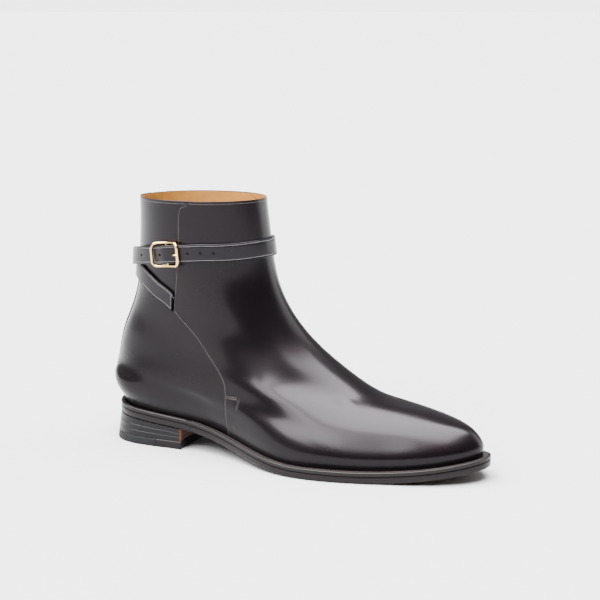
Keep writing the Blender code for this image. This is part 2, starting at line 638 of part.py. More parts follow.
def make_heel(stack_material, leather, rubber):
    """Stacked heel, leather top piece, and a rubber quarter tip let into its outer back corner."""
    share = TOP_PIECE_THICK / (HEEL_HEIGHT + SEAT_RISE)
    mid_flare = HEEL_FLARE * (1 - share)
    stack = prism("heel_stack", [
        heel_ring(mid_flare, TOP_PIECE_THICK + GAP),
        heel_ring(0, seat_underside),
    ])
    add_part("heel_stack", stack, stack_material)

    def lift():
        return prism("lift", [
            heel_ring(HEEL_FLARE - TOP_PIECE_ARRIS, 0.0),
            heel_ring(HEEL_FLARE, TOP_PIECE_ARRIS),
            heel_ring(mid_flare, TOP_PIECE_THICK),
        ])

    top = add_part("top_piece", lift(), leather)
    tip = add_part("heel_tip", lift(), rubber)
    reach = HEEL_LENGTH * 2
    turn = Matrix.Rotation(math.radians(TIP_TURN), 4, "Z")
    border = Vector((TIP_BORDER * HEEL_LENGTH - ORIGIN_FROM_BACK, 0, 0))
    for part, kind, back in ((top, "DIFFERENCE", 0.0), (tip, "INTERSECT", GAP)):
        bpy.ops.mesh.primitive_cube_add(size=1)
        cutter = bpy.context.object
        cutter.name = part.name + "_cutter"
        offset = Matrix.Translation((-reach / 2 - back, 0, 0)) @ Matrix.Diagonal((reach, reach * 2, 0.05, 1))
        cutter.data.transform(Matrix.Translation(border) @ turn @ offset)
        move_to(cutter, "boot_cutters")
        cutter.hide_render = True
        cutter.display_type = "WIRE"
        cut = part.modifiers.new("split", "BOOLEAN")
        cut.operation = kind
        cut.solver = "EXACT"
        cut.object = cutter


def move_to(thing, collection):
    for home in list(thing.users_collection):
        home.objects.unlink(thing)
    bpy.data.collections[collection].objects.link(thing)


def strap_lane(way):
    """Angle, height and stand-off of the strap at points along its way from 0 to 1."""
    table = np.array(STRAP_WAY)
    turns = table[:, 0] * 2 * math.pi
    run = np.concatenate([[0], np.cumsum(np.abs(np.diff(turns)))])
    run /= run[-1]
    columns = [soft_interp(run, column, way) for column in (turns, table[:, 1], table[:, 2])]
    return columns[0], columns[1] * COLLAR_HEIGHT, columns[2]


def on_surface(angle, height):
    """Point of the surface at an angle and a height, and its level normal there."""
    level = level_at(angle, height)
    facing = normal(angle, level)
    flat = facing * [1, 1, 0]
    return surface(angle, level), flat / np.linalg.norm(flat, axis=-1, keepdims=True)


def strap_points(way, across, out):
    """Points on the strap: across from its middle, up positive, and out from its inner face."""
    angle, height, stand = strap_lane(way)
    ahead, height_ahead, _ = strap_lane(np.clip(way + 0.002, 0, 1))
    behind, height_behind, _ = strap_lane(np.clip(way - 0.002, 0, 1))
    forward = on_surface(ahead, height_ahead)[0] - on_surface(behind, height_behind)[0]
    forward /= np.linalg.norm(forward, axis=-1, keepdims=True)
    here, facing = on_surface(angle, height)
    up = np.cross(facing, forward)
    up *= np.sign(up[:, 2:3]) / np.linalg.norm(up, axis=-1, keepdims=True)
    beside = on_surface(angle + SMALL_STEP, height)[0] - here
    per_turn = np.linalg.norm(beside, axis=-1) / SMALL_STEP
    turned = angle + across * (up * beside).sum(-1) / (per_turn ** 2 * SMALL_STEP)
    base, facing = on_surface(turned, height + across * up[:, 2])
    return base + facing * np.reshape(stand + out, (-1, 1))


def strap_length():
    """Rough length of the strap, to turn lengths along it into shares of its way."""
    angle, height, _ = strap_lane(np.linspace(0, 1, 60))
    return np.linalg.norm(np.diff(on_surface(angle, height)[0], axis=0), axis=1).sum()


def make_strap(material, prong_room):
    """One strap, from its sewn end on the outer side round the heel, instep and through the buckle."""
    half, edge = STRAP_WIDTH / 2, STRAP_ROUND
    section = [(-half, edge), (-half, STRAP_THICK - edge), (-half + edge, STRAP_THICK),
               (half - edge, STRAP_THICK), (half, STRAP_THICK - edge), (half, edge),
               (half - edge, 0), (-half + edge, 0)]
    ways = np.linspace(0, 1, STRAP_STATIONS)
    length = strap_length()
    tip = np.clip((1 - ways) * length / (STRAP_WIDTH * 0.45), 0, 1)
    narrow = np.sqrt(1 - (1 - tip) ** 2) * 0.7 + 0.3
    slant = STRAP_END_SLANT / length * np.clip(1 - ways / 0.04, 0, 1)
    columns = [strap_points(ways + slant * (1 + across / half), across * narrow, out)
               for across, out in section]
    strap = add_part("strap", strip_to_mesh("strap", list(np.stack(columns, axis=1))), material)
    prong_room.name = "prong_room"
    move_to(prong_room, "boot_cutters")
    prong_room.hide_render = True
    prong_room.display_type = "WIRE"
    hole = strap.modifiers.new("prong_hole", "BOOLEAN")
    hole.operation = "DIFFERENCE"
    hole.solver = "EXACT"
    hole.object = prong_room


def sweep(name, path, radius, closed=False, sides=10):
    """A round wire along a path of points, as a mesh."""
    path = np.asarray(path, float)
    if closed:
        tangent = np.roll(path, -1, axis=0) - np.roll(path, 1, axis=0)
    else:
        tangent = np.gradient(path, axis=0)
    tangent /= np.linalg.norm(tangent, axis=1, keepdims=True)
    centre = path.mean(axis=0)
    widest = np.linalg.svd(path - centre)[2][2]
    side = np.cross(tangent, widest)
    side /= np.linalg.norm(side, axis=1, keepdims=True)
    lift = np.cross(side, tangent)
    turn = np.linspace(0, 2 * math.pi, sides, endpoint=False)
    radius = np.broadcast_to(radius, len(path))[:, None, None]
    rings = path[:, None] + radius * (side[:, None] * np.cos(turn)[:, None]
                                      + lift[:, None] * np.sin(turn)[:, None])
    if closed:
        return rings_to_mesh(name, list(rings), closed_rows=True)
    return strip_to_mesh(name, list(rings))


def shaft_point(turns, height, stand):
    """A point off the shaft's surface, by turns round it, height and stand-off."""
    base, facing = on_surface(np.array([turns * 2 * math.pi]), np.array([height]))
    return (base + facing * stand)[0]


def buckle_axes():
    """The buckle's bar, its ends' middles, and the turns of the shaft that a metre along it takes."""
    height = BUCKLE_Z * COLLAR_HEIGHT
    bar = shaft_point(BUCKLE_TURNS, height, BUCKLE_BAR_STAND)
    beside = shaft_point(BUCKLE_TURNS + 0.01, height, BUCKLE_BAR_STAND)
    per_metre = 0.01 / np.linalg.norm(beside - bar)
    reach = (BUCKLE_LENGTH / 2 - BUCKLE_WIRE) * per_metre
    drop = BUCKLE_TILT * COLLAR_HEIGHT
    front = shaft_point(BUCKLE_TURNS + reach, height + drop, BUCKLE_FRONT_STAND)
    back = shaft_point(BUCKLE_TURNS - reach, height - drop, BUCKLE_BACK_STAND)
    return bar, front, back, per_metre


def make_buckle_frame(brass):
    """A rounded rectangle of wire, its long sides bowed down to the centre bar."""
    bar, front, back, _ = buckle_axes()
    along = front - back
    reach = np.linalg.norm(along) / 2
    along /= 2 * reach
    middle = (front + back) / 2
    up = np.array([0, 0, 1.0]) - along * along[2]
    up /= np.linalg.norm(up)
    out = np.cross(along, up)
    rail = BUCKLE_HEIGHT / 2 - BUCKLE_WIRE
    corner = BUCKLE_CORNER - BUCKLE_WIRE
    loop = []
    for sign_s, sign_v, start in ((1, 1, 0), (-1, 1, 90), (-1, -1, 180), (1, -1, 270)):
        for turn in np.radians(np.linspace(start, start + 90, 6)):
            loop.append((sign_s * (reach - corner) + corner * math.cos(turn),
                         sign_v * (rail - corner) + corner * math.sin(turn)))
        if sign_s * sign_v > 0:
            flat = reach - corner
            loop += [(sign_s * s * flat, sign_v * rail) for s in (0.6, 0.2, -0.2, -0.6)]
    bow = (bar - middle) @ out
    shape = [middle + along * s + up * v + out * bow * (1 - (s / reach) ** 2) for s, v in loop]
    frame = add_part("buckle_frame", sweep("buckle_frame", shape, BUCKLE_WIRE, closed=True), brass)
    foot = middle + out * bow
    ends = [foot + up * rail * sign for sign in (-1, 1)]
    rod = add_part("buckle_bar_rod", sweep("buckle_bar_rod", np.linspace(*ends, 5), BUCKLE_BAR), brass)
    move_to(rod, "boot_cutters")
    rod.hide_render = True
    rod.display_type = "WIRE"
    joined = frame.modifiers.new("bar", "BOOLEAN")
    joined.operation = "UNION"
    joined.solver = "EXACT"
    joined.object = rod
    return foot, along, up, out


def prong_path(foot, along, out, per_metre):
    """The prong: an eye round the bar, under the strap, up through its hole and over the front end."""
    eye = BUCKLE_BAR + GAP + PRONG_WIRE
    loop = [foot + along * eye * math.cos(a) + out * eye * math.sin(a)
            for a in np.radians(np.arange(-215, 61, 25))]
    height = BUCKLE_Z * COLLAR_HEIGHT
    reach = (BUCKLE_LENGTH / 2 - BUCKLE_WIRE) * per_metre
    over = BUCKLE_FRONT_STAND + BUCKLE_WIRE + GAP + PRONG_WIRE
    rest = []
    for share, stand, on_top, lift in PRONG_WAY:
        rest.append(shaft_point(BUCKLE_TURNS + share * reach, height + lift * COLLAR_HEIGHT,
                                stand + over * on_top))
    points = np.array(loop + rest)
    run = np.concatenate([[0], np.cumsum(np.linalg.norm(np.diff(points, axis=0), axis=1))])
    fine = np.linspace(0, run[-1], 32)
    column = np.repeat(points[:, None], len(fine), axis=1)
    return spline_pick(run, column, bends(run, column), fine)


def main():
    for thing in list(bpy.data.objects):
        bpy.data.objects.remove(thing, do_unlink=True)
    for name in ("jodhpur_boot", "boot_cutters"):
        group = bpy.data.collections.new(name)
        bpy.context.scene.collection.children.link(group)

    calf = make_material("black_calf", (0.012, 0.011, 0.013), 0.24, coat=0.4)
    edge = make_material("sole_edge", (0.014, 0.011, 0.010), 0.35)
    sole = make_material("sole_leather", (0.10, 0.034, 0.014), 0.45)
    stack = make_material("heel_leather", (0.018, 0.015, 0.015), 0.38)
    rubber = make_material("heel_rubber", (0.010, 0.010, 0.010), 0.7)
    board = make_material("insole_leather", (0.42, 0.24, 0.09), 0.6)

    make_upper(calf)
    make_backstay(calf)
    make_insole(board)
    make_outsole(sole)
    breast = breast_angle()
    ring_strip("welt", breast, 2 * math.pi - breast, edge)
    joint = GAP / (SOLE_LENGTH / 2 * math.sin(breast))
    ring_strip("seat_rand", 2 * math.pi - breast + joint, 2 * math.pi + breast - joint, edge)
    make_heel(stack, sole, rubber)
    brass = make_material("brass", (0.70, 0.50, 0.22), 0.25, metallic=1.0)
    foot, along, _, out = make_buckle_frame(brass)
    path = prong_path(foot, along, out, buckle_axes()[3])
    add_part("buckle_prong", sweep("buckle_prong", path, PRONG_WIRE, sides=8), brass)
    room = add_part("prong_room", sweep("prong_room", path, PRONG_WIRE + GAP, sides=10), calf)
    make_strap(calf, room)


main()
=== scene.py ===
import math

import bpy
import numpy as np
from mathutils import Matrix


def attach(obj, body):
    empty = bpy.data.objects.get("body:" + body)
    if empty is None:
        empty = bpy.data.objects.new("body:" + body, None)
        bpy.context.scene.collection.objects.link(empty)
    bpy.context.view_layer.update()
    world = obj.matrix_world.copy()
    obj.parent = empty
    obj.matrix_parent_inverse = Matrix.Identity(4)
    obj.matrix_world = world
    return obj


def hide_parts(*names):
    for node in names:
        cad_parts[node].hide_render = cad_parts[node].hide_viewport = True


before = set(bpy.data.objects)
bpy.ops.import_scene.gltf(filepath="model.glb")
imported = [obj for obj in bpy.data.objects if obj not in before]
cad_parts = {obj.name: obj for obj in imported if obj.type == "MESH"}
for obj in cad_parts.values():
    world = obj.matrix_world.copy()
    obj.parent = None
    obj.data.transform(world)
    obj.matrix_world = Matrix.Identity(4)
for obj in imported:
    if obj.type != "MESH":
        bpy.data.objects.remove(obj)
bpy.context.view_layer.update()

# A black jodhpur boot for the right foot. Metres, +X to the toe, +Y to the inner side, +Z up.
# Angles run round the boot: 0 at the heel's back, a quarter turn on the outer side, half a turn at
# the toe or shin. Levels run up the upper, 0 at its foot and 1 at the collar. Inside the functions
# x is measured from the heel's back edge, and addPiece moves every piece to the frame's origin.

mm = 0.001
fullTurn = 2 * math.pi

sole = {
    "length": 0.305,
    "ballWidth": 0.107,
    "heelLength": 0.070,
    "heelHeight": 0.0158,
    "seatRise": 0.0062,
    "toeSpring": 0.0098,
    "toeShift": 0.004,
    "thick": 0.005,
    "weltThick": 0.003,
    "gap": 0.0003,
    "originFromBack": 0.034,
    "flatFrom": 0.597,
    "flatTo": 0.705,
}

# Share of the sole's length, half-widths on the outer and inner side as shares of half the ball
# width, the upper's inset in metres, then how far its wall stands out at mid height and at the turn,
# outer and inner side. The end rows hold the end radius in place of a half-width.
solePlan = np.array([
    (0.000, 0.500, 0.500, 0.0030, 0.0062, 0.0092, 0.0062, 0.0092),
    (0.033, 0.440, 0.440, 0.0030, 0.0056, 0.0080, 0.0054, 0.0076),
    (0.108, 0.597, 0.597, 0.0030, 0.0036, 0.0052, 0.0034, 0.0048),
    (0.230, 0.583, 0.580, 0.0030, 0.0026, 0.0042, 0.0036, 0.0060),
    (0.320, 0.626, 0.505, 0.0034, 0.0026, 0.0044, 0.0054, 0.0086),
    (0.400, 0.766, 0.477, 0.0040, 0.0016, 0.0024, 0.0066, 0.0108),
    (0.475, 0.935, 0.626, 0.0046, 0.0010, 0.0006, 0.0052, 0.0080),
    (0.550, 1.034, 0.804, 0.0050, 0.0011, -0.0005, 0.0030, 0.0036),
    (0.613, 1.037, 0.907, 0.0053, 0.0012, -0.0014, 0.0019, 0.0014),
    (0.672, 0.985, 0.944, 0.0055, 0.0011, -0.0022, 0.0014, 0.0000),
    (0.738, 0.879, 0.935, 0.0055, 0.0009, -0.0030, 0.0010, -0.0012),
    (0.803, 0.753, 0.869, 0.0056, 0.0007, -0.0034, 0.0008, -0.0022),
    (0.870, 0.613, 0.746, 0.0057, 0.0005, -0.0036, 0.0006, -0.0030),
    (0.930, 0.439, 0.572, 0.0058, 0.0004, -0.0038, 0.0004, -0.0036),
    (1.000, 0.345, 0.345, 0.0058, 0.0004, -0.0042, 0.0004, -0.0042),
])

upper = {
    "instepHeight": 0.0862,
    "collarHeight": 0.1912,
    "collarLength": 0.1045,
    "collarWidth": 0.0728,
    "collarFrontRise": 0.0020,
    "leather": 0.0010,       # one thickness of calf; the quarters lie this far under the vamp
    "wall": 0.0030,          # calf and lining where vamp and quarter lap
    "featherRound": 0.0008,
    "midRise": (0.0105, 0.0080),
    "turnRise": (0.0190, 0.0165),
}

# Loops over the foot: backX, backZ, frontX, frontZ, ridge's shift, sag, back radius, five outer
# half-widths, front radius, five inner half-widths. Loops of the shaft: backX, backZ, length, frontZ,
# ridge's shift, back radius, and the same widths. All are shares of the sizes above, as in the frame.
loopStations = np.array((0.10, 0.25, 0.45, 0.65, 0.85))
footLoops = [
    (-0.0140, 0.188, 0.9115, 0.436, 0.093, 0.168, 0.47,
     (0.575, 0.640, 0.738, 0.790, 0.450), 0.225, (0.565, 0.626, 0.668, 0.790, 0.600)),
    (-0.0045, 0.275, 0.8295, 0.501, 0.112, 0.093, 0.44,
     (0.525, 0.617, 0.692, 0.705, 0.350), 0.205, (0.520, 0.607, 0.664, 0.715, 0.505)),
    (0.0090, 0.362, 0.7311, 0.565, 0.125, 0.037, 0.41,
     (0.490, 0.588, 0.647, 0.640, 0.345), 0.205, (0.487, 0.585, 0.640, 0.645, 0.455)),
    (0.0275, 0.442, 0.6300, 0.751, 0.118, 0.000, 0.38,
     (0.448, 0.565, 0.620, 0.595, 0.378), 0.210, (0.448, 0.563, 0.617, 0.600, 0.440)),
    (0.0430, 0.517, 0.5400, 1.000, 0.090, 0.000, 0.37,
     (0.410, 0.545, 0.607, 0.583, 0.400), 0.220, (0.410, 0.545, 0.605, 0.585, 0.418)),
]
shaftLoops = [
    (0.0535, 0.598, 1.225, 0.223, 0.080, 0.57,
     (0.565, 0.770, 0.893, 0.879, 0.640), 0.38, (0.565, 0.770, 0.890, 0.880, 0.640)),
    (0.0580, 0.684, 1.115, 0.430, 0.045, 0.60,
     (0.568, 0.783, 0.907, 0.893, 0.650), 0.48, (0.568, 0.783, 0.907, 0.893, 0.650)),
    (0.0618, 0.796, 1.054, 0.690, 0.015, 0.63,
     (0.572, 0.821, 0.942, 0.904, 0.676), 0.58, (0.572, 0.821, 0.942, 0.904, 0.670)),
    (0.0650, 1.000, 1.000, 1.000, 0.000, 0.68,
     (0.600, 0.866, 0.996, 0.954, 0.714), 0.66, (0.600, 0.866, 0.996, 0.954, 0.714)),
]

# The vamp's rear edge: share of the collar's height, share of the sole's length.
vampEdge = np.array([
    (1.000, 0.2740), (0.994, 0.2572), (0.986, 0.2456), (0.976, 0.2400), (0.953, 0.2354),
    (0.868, 0.2317), (0.760, 0.2243), (0.647, 0.2149), (0.566, 0.2079), (0.545, 0.2190),
    (0.519, 0.2372), (0.459, 0.2793), (0.391, 0.3152), (0.333, 0.3461), (0.294, 0.3600),
    (0.236, 0.3640), (0.155, 0.3620), (0.103, 0.3640), (0.030, 0.3710),
])

halfBall = sole["ballWidth"] / 2
weltFoot = sole["thick"] + sole["gap"]
tiny = 1e-4  # a small step in angle or level, for slopes


# Curves and the boot's surfaces

def runAlong(points):
    # Distance along a path from its start to each of its points
    return np.concatenate([[0], np.cumsum(np.linalg.norm(np.diff(points, axis=0), axis=1))])


def smoothStep(value, low, high):
    # 3t^2 - 2t^3, with t going from 0 at low to 1 at high
    share = np.clip((value - low) / (high - low), 0, 1)
    return share * share * (3 - 2 * share)


def softInterp(knots, values, where):
    # Cubic pieces whose slope at each knot is the harmonic mean of its neighbours', so none overshoots
    step = np.diff(knots)
    rise = np.diff(values) / step
    slope = np.zeros(len(knots))
    same = rise[1:] * rise[:-1] > 0
    early, late = 2 * step[1:] + step[:-1], step[1:] + 2 * step[:-1]
    before, after = np.where(same, rise[:-1], 1), np.where(same, rise[1:], 1)
    slope[1:-1] = np.where(same, (early + late) / (early / before + late / after), 0)
    slope[0], slope[-1] = rise[0], rise[-1]
    where = np.clip(where, knots[0], knots[-1])
    k = np.clip(np.searchsorted(knots, where) - 1, 0, len(knots) - 2)
    s = (where - knots[k]) / step[k]
    return (values[k] * (1 + 2 * s) * (1 - s) ** 2 + step[k] * slope[k] * s * (1 - s) ** 2
            + values[k + 1] * s * s * (3 - 2 * s) - step[k] * slope[k + 1] * s * s * (1 - s))


def splineBends(knots, values):
    # Second derivatives of the natural cubic spline through values, along their first axis
    step = np.diff(knots)
    flat = values.reshape(len(knots), -1)
    system = np.eye(len(knots))
    right = np.zeros_like(flat)
    for k in range(1, len(knots) - 1):
        system[k, k - 1:k + 2] = step[k - 1], 2 * (step[k - 1] + step[k]), step[k]
        right[k] = 6 * ((flat[k + 1] - flat[k]) / step[k] - (flat[k] - flat[k - 1]) / step[k - 1])
    return np.linalg.solve(system, right).reshape(values.shape)


def splinePick(knots, values, where, bend=None):
    # The natural cubic spline down each column of values, read at that column's own place
    bend = splineBends(knots, values) if bend is None else bend
    k = np.clip(np.searchsorted(knots, where) - 1, 0, len(knots) - 2)
    column = np.arange(len(where))
    step = (knots[k + 1] - knots[k])[:, None]
    b = ((where - knots[k]) / (knots[k + 1] - knots[k]))[:, None]
    a = 1 - b
    return (a * values[k, column] + b * values[k + 1, column]
            + ((a ** 3 - a) * bend[k, column] + (b ** 3 - b) * bend[k + 1, column]) * step ** 2 / 6)


def halfWidth(along, outer, inner, backRadius, frontRadius, length, shift, angle):
    # y = -sin(angle) times a spline of w / sin, so both ends are round with the given radii
    turn = np.arccos(1 - 2 * along)
    knots = np.concatenate([[0], turn, [math.pi]])
    back, front = math.sqrt(backRadius * length / 2), math.sqrt(frontRadius * length / 2)
    half = np.arccos(np.cos(angle))
    found = []
    for widths, sign in ((outer, 1), (inner, -1)):
        reach = np.concatenate([[back], (widths + sign * shift * along ** 3) / np.sin(turn), [front]])
        column = np.repeat(reach[:, None, None], len(half), axis=1)
        found.append(splinePick(knots, column, half)[:, 0])
    return -np.sin(angle) * np.where(np.sin(angle) >= 0, found[0], found[1])


def planColumn(column, angle):
    # One column of the sole's plan, read softly at an angle: its share is (1 - cos(angle)) / 2
    turn = np.arccos(1 - 2 * solePlan[:, 0])
    return softInterp(turn, solePlan[:, column], np.arccos(np.cos(angle)))


def sidedColumn(outer, inner, angle):
    # The outer side's column where sin(angle) is positive, and the inner side's elsewhere
    return np.where(np.sin(angle) >= 0, planColumn(outer, angle), planColumn(inner, angle))


def soleEdge(angle):
    # x = length * (1 - cos(angle)) / 2, y = the half-width there, moved inwards by toeShift * share^3
    share = (1 - np.cos(angle)) / 2
    rows = solePlan[1:-1]
    y = halfWidth(rows[:, 0], rows[:, 1] * halfBall, rows[:, 2] * halfBall, solePlan[0, 1] * halfBall,
                  solePlan[-1, 1] * halfBall, sole["length"], sole["toeShift"], angle)
    return np.stack([share * sole["length"], y + sole["toeShift"] * share ** 3], -1)


def soleOffset(angle, out):
    # The sole's outline, moved outwards by out along its own normal
    tangent = soleEdge(angle + tiny) - soleEdge(angle - tiny)
    tangent /= np.linalg.norm(tangent, axis=-1, keepdims=True)
    outward = np.stack([tangent[:, 1], -tangent[:, 0]], -1)
    return soleEdge(angle) + outward * np.broadcast_to(out, angle.shape)[:, None]


def undersideHeight(x):
    # The seat slopes, the waist falls as a cubic, the tread is flat and the toe springs as a square
    flatStart, flatEnd = sole["flatFrom"] * sole["length"], sole["flatTo"] * sole["length"]
    seat = sole["heelHeight"] + sole["seatRise"] * (1 - x / sole["heelLength"])
    waist = np.clip((x - sole["heelLength"]) / (flatStart - sole["heelLength"]), 0, 1)
    toe = np.clip((x - flatEnd) / (sole["length"] - flatEnd), 0, 1.05)
    tread = sole["heelHeight"] * (1 - waist) ** 2 * (1 + 1.15 * waist) + sole["toeSpring"] * toe ** 2
    return np.where(x < sole["heelLength"], seat, tread)


def onSole(angle, out, rise):
    # A point beside the sole's edge, at height rise over the underside there
    angle = np.atleast_1d(np.asarray(angle, float))
    flat = soleOffset(angle, out)
    return np.column_stack([flat, undersideHeight(flat[:, 0]) + rise])


def controlLoops(angle):
    # The loops that the bare form runs through, lowest first: four at the welt and the wall's turn,
    # five that slope over the foot, and four up the shaft. Each is a straight line from back to front
    # seen from the side, with a sag on the foot, and half-widths either side seen from above.
    share = (1 - np.cos(angle)) / 2
    inset = planColumn(3, angle)
    mid, turn = (ends[0] + (ends[1] - ends[0]) * share for ends in (upper["midRise"], upper["turnRise"]))
    weltTop = weltFoot + sole["weltThick"]
    loops = [
        onSole(angle, -inset, weltFoot + upper["featherRound"]),
        onSole(angle, -inset, weltTop),
        onSole(angle, -inset + sidedColumn(4, 6, angle), weltTop + mid),
        onSole(angle, -inset + sidedColumn(5, 7, angle), weltTop + turn),
    ]
    seat = sole["heelHeight"] + sole["seatRise"] + weltTop
    tall = upper["collarHeight"] - seat
    for backX, backZ, frontX, frontZ, frontY, sag, backR, outer, frontR, inner in footLoops:
        back = np.array([backX * sole["length"], seat + backZ * tall])
        front = np.array([frontX * sole["length"], weltFoot + frontZ * (upper["instepHeight"] - weltFoot)])
        shift = frontY * halfBall
        y = halfWidth(loopStations, np.array(outer) * halfBall, np.array(inner) * halfBall,
                      backR * halfBall, frontR * halfBall, front[0] - back[0], shift, angle)
        dip = sag * halfBall * np.sin(math.pi * share ** 1.4)
        loops.append(np.column_stack([back[0] + share * (front[0] - back[0]), y + shift * share ** 3,
                                      back[1] + share * (front[1] - back[1]) - dip]))
    halfCollar = upper["collarWidth"] / 2
    for backX, backZ, size, frontZ, frontY, backR, outer, frontR, inner in shaftLoops:
        back = np.array([backX * sole["length"], seat + backZ * tall])
        length, shift = size * upper["collarLength"], frontY * halfCollar
        front = upper["instepHeight"] + frontZ * (upper["collarHeight"] - upper["instepHeight"])
        y = halfWidth(loopStations, np.array(outer) * halfCollar, np.array(inner) * halfCollar,
                      backR * halfCollar, frontR * halfCollar, length, shift, angle)
        rise = upper["collarFrontRise"] * share * (backZ == 1)
        loops.append(np.column_stack([back[0] + share * length, y + shift * share ** 3,
                                      back[1] + share * (front - back[1]) + rise]))
    return np.array(loops)


loopSteps = np.linalg.norm(np.diff(controlLoops(np.linspace(0, fullTurn, 48, endpoint=False)), axis=0),
                           axis=2).mean(axis=1)
levelKnots = np.concatenate([[0], np.cumsum(loopSteps)]) / loopSteps.sum()
levelPerMetre = 1 / loopSteps.sum()


def lastPoint(angle, level):
    # The bare form: a natural cubic spline up through the loops, at one angle
    angle, level = np.broadcast_arrays(np.asarray(angle, float), np.asarray(level, float))
    found = splinePick(levelKnots, controlLoops(angle.ravel()), level.ravel())
    return found.reshape(angle.shape + (3,))


def metresPerRadian(angle, level, step=0.01):
    # How far a radian reaches round the bare form there, from a small step in angle
    return np.linalg.norm(lastPoint(angle + step, level) - lastPoint(angle, level), axis=-1) / step


def lastFrame(angle, level):
    # The bare form's point and its outward normal, from small steps in angle and in level
    angle, level = np.broadcast_arrays(np.asarray(angle, float), np.asarray(level, float))
    flat = level.ravel()
    loops, ahead = controlLoops(angle.ravel()), controlLoops(angle.ravel() + tiny)
    bend = splineBends(levelKnots, loops)
    here = splinePick(levelKnots, loops, flat, bend)
    rise = (splinePick(levelKnots, loops, np.clip(flat + tiny, 0, 1), bend)
            - splinePick(levelKnots, loops, np.clip(flat - tiny, 0, 1), bend))
    facing = np.cross(splinePick(levelKnots, ahead, flat) - here, rise)
    facing /= np.linalg.norm(facing, axis=-1, keepdims=True)
    return here.reshape(angle.shape + (3,)), facing.reshape(angle.shape + (3,))


# Soft folds and hollows in the calf, in metres with x from the heel's back: the fold's middle, its
# direction, its half-length and half-width, and how far it stands out (+) or in (-).
folds = [
    ((0.206, -0.017, 0.050), (0.7, -0.2, -0.45), 0.010, 0.0026, 0.00015),
    ((0.204, -0.021, 0.046), (0.7, -0.2, -0.45), 0.012, 0.0034, -0.0002),
    ((0.093, -0.044, 0.046), (0.8, -0.1, -0.6), 0.016, 0.009, 0.0004),
    ((0.070, -0.040, 0.085), (0.5, 0.0, 0.8), 0.030, 0.012, -0.0007),
    ((0.128, -0.030, 0.085), (0.9, 0.0, -0.5), 0.022, 0.010, -0.0006),
]


def foldDepth(points):
    # The sum of long soft bells: out * exp(-(s/reach)^2 - (t/wide)^2), s along the fold, t off it
    depth = np.zeros(points.shape[:-1])
    for middle, way, reach, wide, out in folds:
        along = np.array(way) / np.linalg.norm(way)
        off = points - np.array(middle)
        s = off @ along
        t = np.linalg.norm(off - s[..., None] * along, axis=-1)
        depth += out * np.exp(-(s / reach) ** 2 - (t / wide) ** 2)
    return depth


def onUpper(angle, level, *outs):
    # Points off the upper: the last's form, moved along its normal by the folds and by each of outs
    base, facing = lastFrame(angle, level)
    base += facing * foldDepth(base)[..., None]
    found = [base + facing * (out + np.zeros(base.shape[:-1]))[..., None] for out in outs]
    return found if len(found) > 1 else found[0]


def levelAtHeight(angle, height):
    # Newton steps on height, from a straight guess between the welt and the collar
    angle, height = np.broadcast_arrays(np.asarray(angle, float), np.asarray(height, float))
    loops = controlLoops(angle.ravel())
    bend = splineBends(levelKnots, loops)
    level = np.clip((height.ravel() - 0.02) / 0.175, 0.05, 0.98)
    for _ in range(7):
        low = np.minimum(level, 1 - 2 * tiny)
        here, above = (splinePick(levelKnots, loops, at, bend)[:, 2] for at in (low, low + tiny))
        level = np.clip(low + (height.ravel() - here) / ((above - here) / tiny), 0, 1)
    return level.reshape(angle.shape)


def vampEdgeAngle(levels):
    # Angle at which each level's loop meets the vamp's edge, found along the loop
    table = vampEdge[::-1]
    angles = np.linspace(0.5, 2.6, 260)
    grid = lastPoint(angles[None, :], levels[:, None])
    edgeX = softInterp(table[:, 0], table[:, 1], grid[..., 2] / upper["collarHeight"]) * sole["length"]
    return np.array([np.interp(0, row, angles) for row in grid[..., 0] - edgeX])


# Meshes

def loftFaces(count, size, wrap):
    # Quads (i, j) (i, j+1) (i+1, j+1) (i+1, j) between closed rings, and a ladder over each open end
    i, j = np.meshgrid(np.arange(count if wrap else count - 1), np.arange(size), indexing="ij")
    ahead, beside = (i + 1) % count, (j + 1) % size
    faces = [np.stack([i * size + j, i * size + beside, ahead * size + beside, ahead * size + j],
                      -1).reshape(-1, 4)]
    if not wrap:
        k = np.arange(size // 2 - 1)
        faces.append(np.stack([k + 1, k, size - 1 - k, size - 2 - k], -1))
        faces.append(np.stack([k, k + 1, size - 2 - k, size - 1 - k], -1) + (count - 1) * size)
    return np.concatenate(faces)


def outwardFaces(points, faces):
    # The body's signed volume tells whether its faces look out or in
    corner = points[faces]
    volume = sum(np.einsum("ij,ij->i", corner[:, 0], np.cross(corner[:, k], corner[:, k + 1])).sum()
                 for k in (1, 2))
    return faces if volume > 0 else faces[:, ::-1]


def addPiece(name, points, faces, material, slot, replaces=(), sharp=40, marks=None):
    # Without sharp edges the faces may be triangles: quads with a corner said twice
    points = np.asarray(points, float).reshape(-1, 3) - (sole["originFromBack"], 0, 0)
    faces = outwardFaces(points, faces).tolist()
    if sharp is None:
        faces = [list(dict.fromkeys(face)) for face in faces]
    mesh = bpy.data.meshes.new(name)
    mesh.from_pydata(points.tolist(), [], faces)
    mesh.validate()
    for key, values in (marks or {}).items():
        mesh.attributes.new(key, "FLOAT", "POINT").data.foreach_set("value", np.ravel(values).astype("f"))
    mesh.shade_smooth()
    if sharp is not None:
        mesh.set_sharp_from_angle(angle=math.radians(sharp))
    mesh.materials.append(material)
    piece = bpy.data.objects.new(name, mesh)
    bpy.context.scene.collection.objects.link(piece)
    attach(piece, "root")
    if replaces:
        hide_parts(*replaces)


def addLoft(name, rings, material, slot, wrap=False, **more):
    # A closed body through rings of equal count
    rings = np.asarray(rings, float)
    addPiece(name, rings, loftFaces(len(rings), rings.shape[1], wrap), material, slot, **more)


def unit(vectors):
    # Each vector divided by its own length
    return vectors / np.maximum(np.linalg.norm(vectors, axis=-1, keepdims=True), 1e-12)


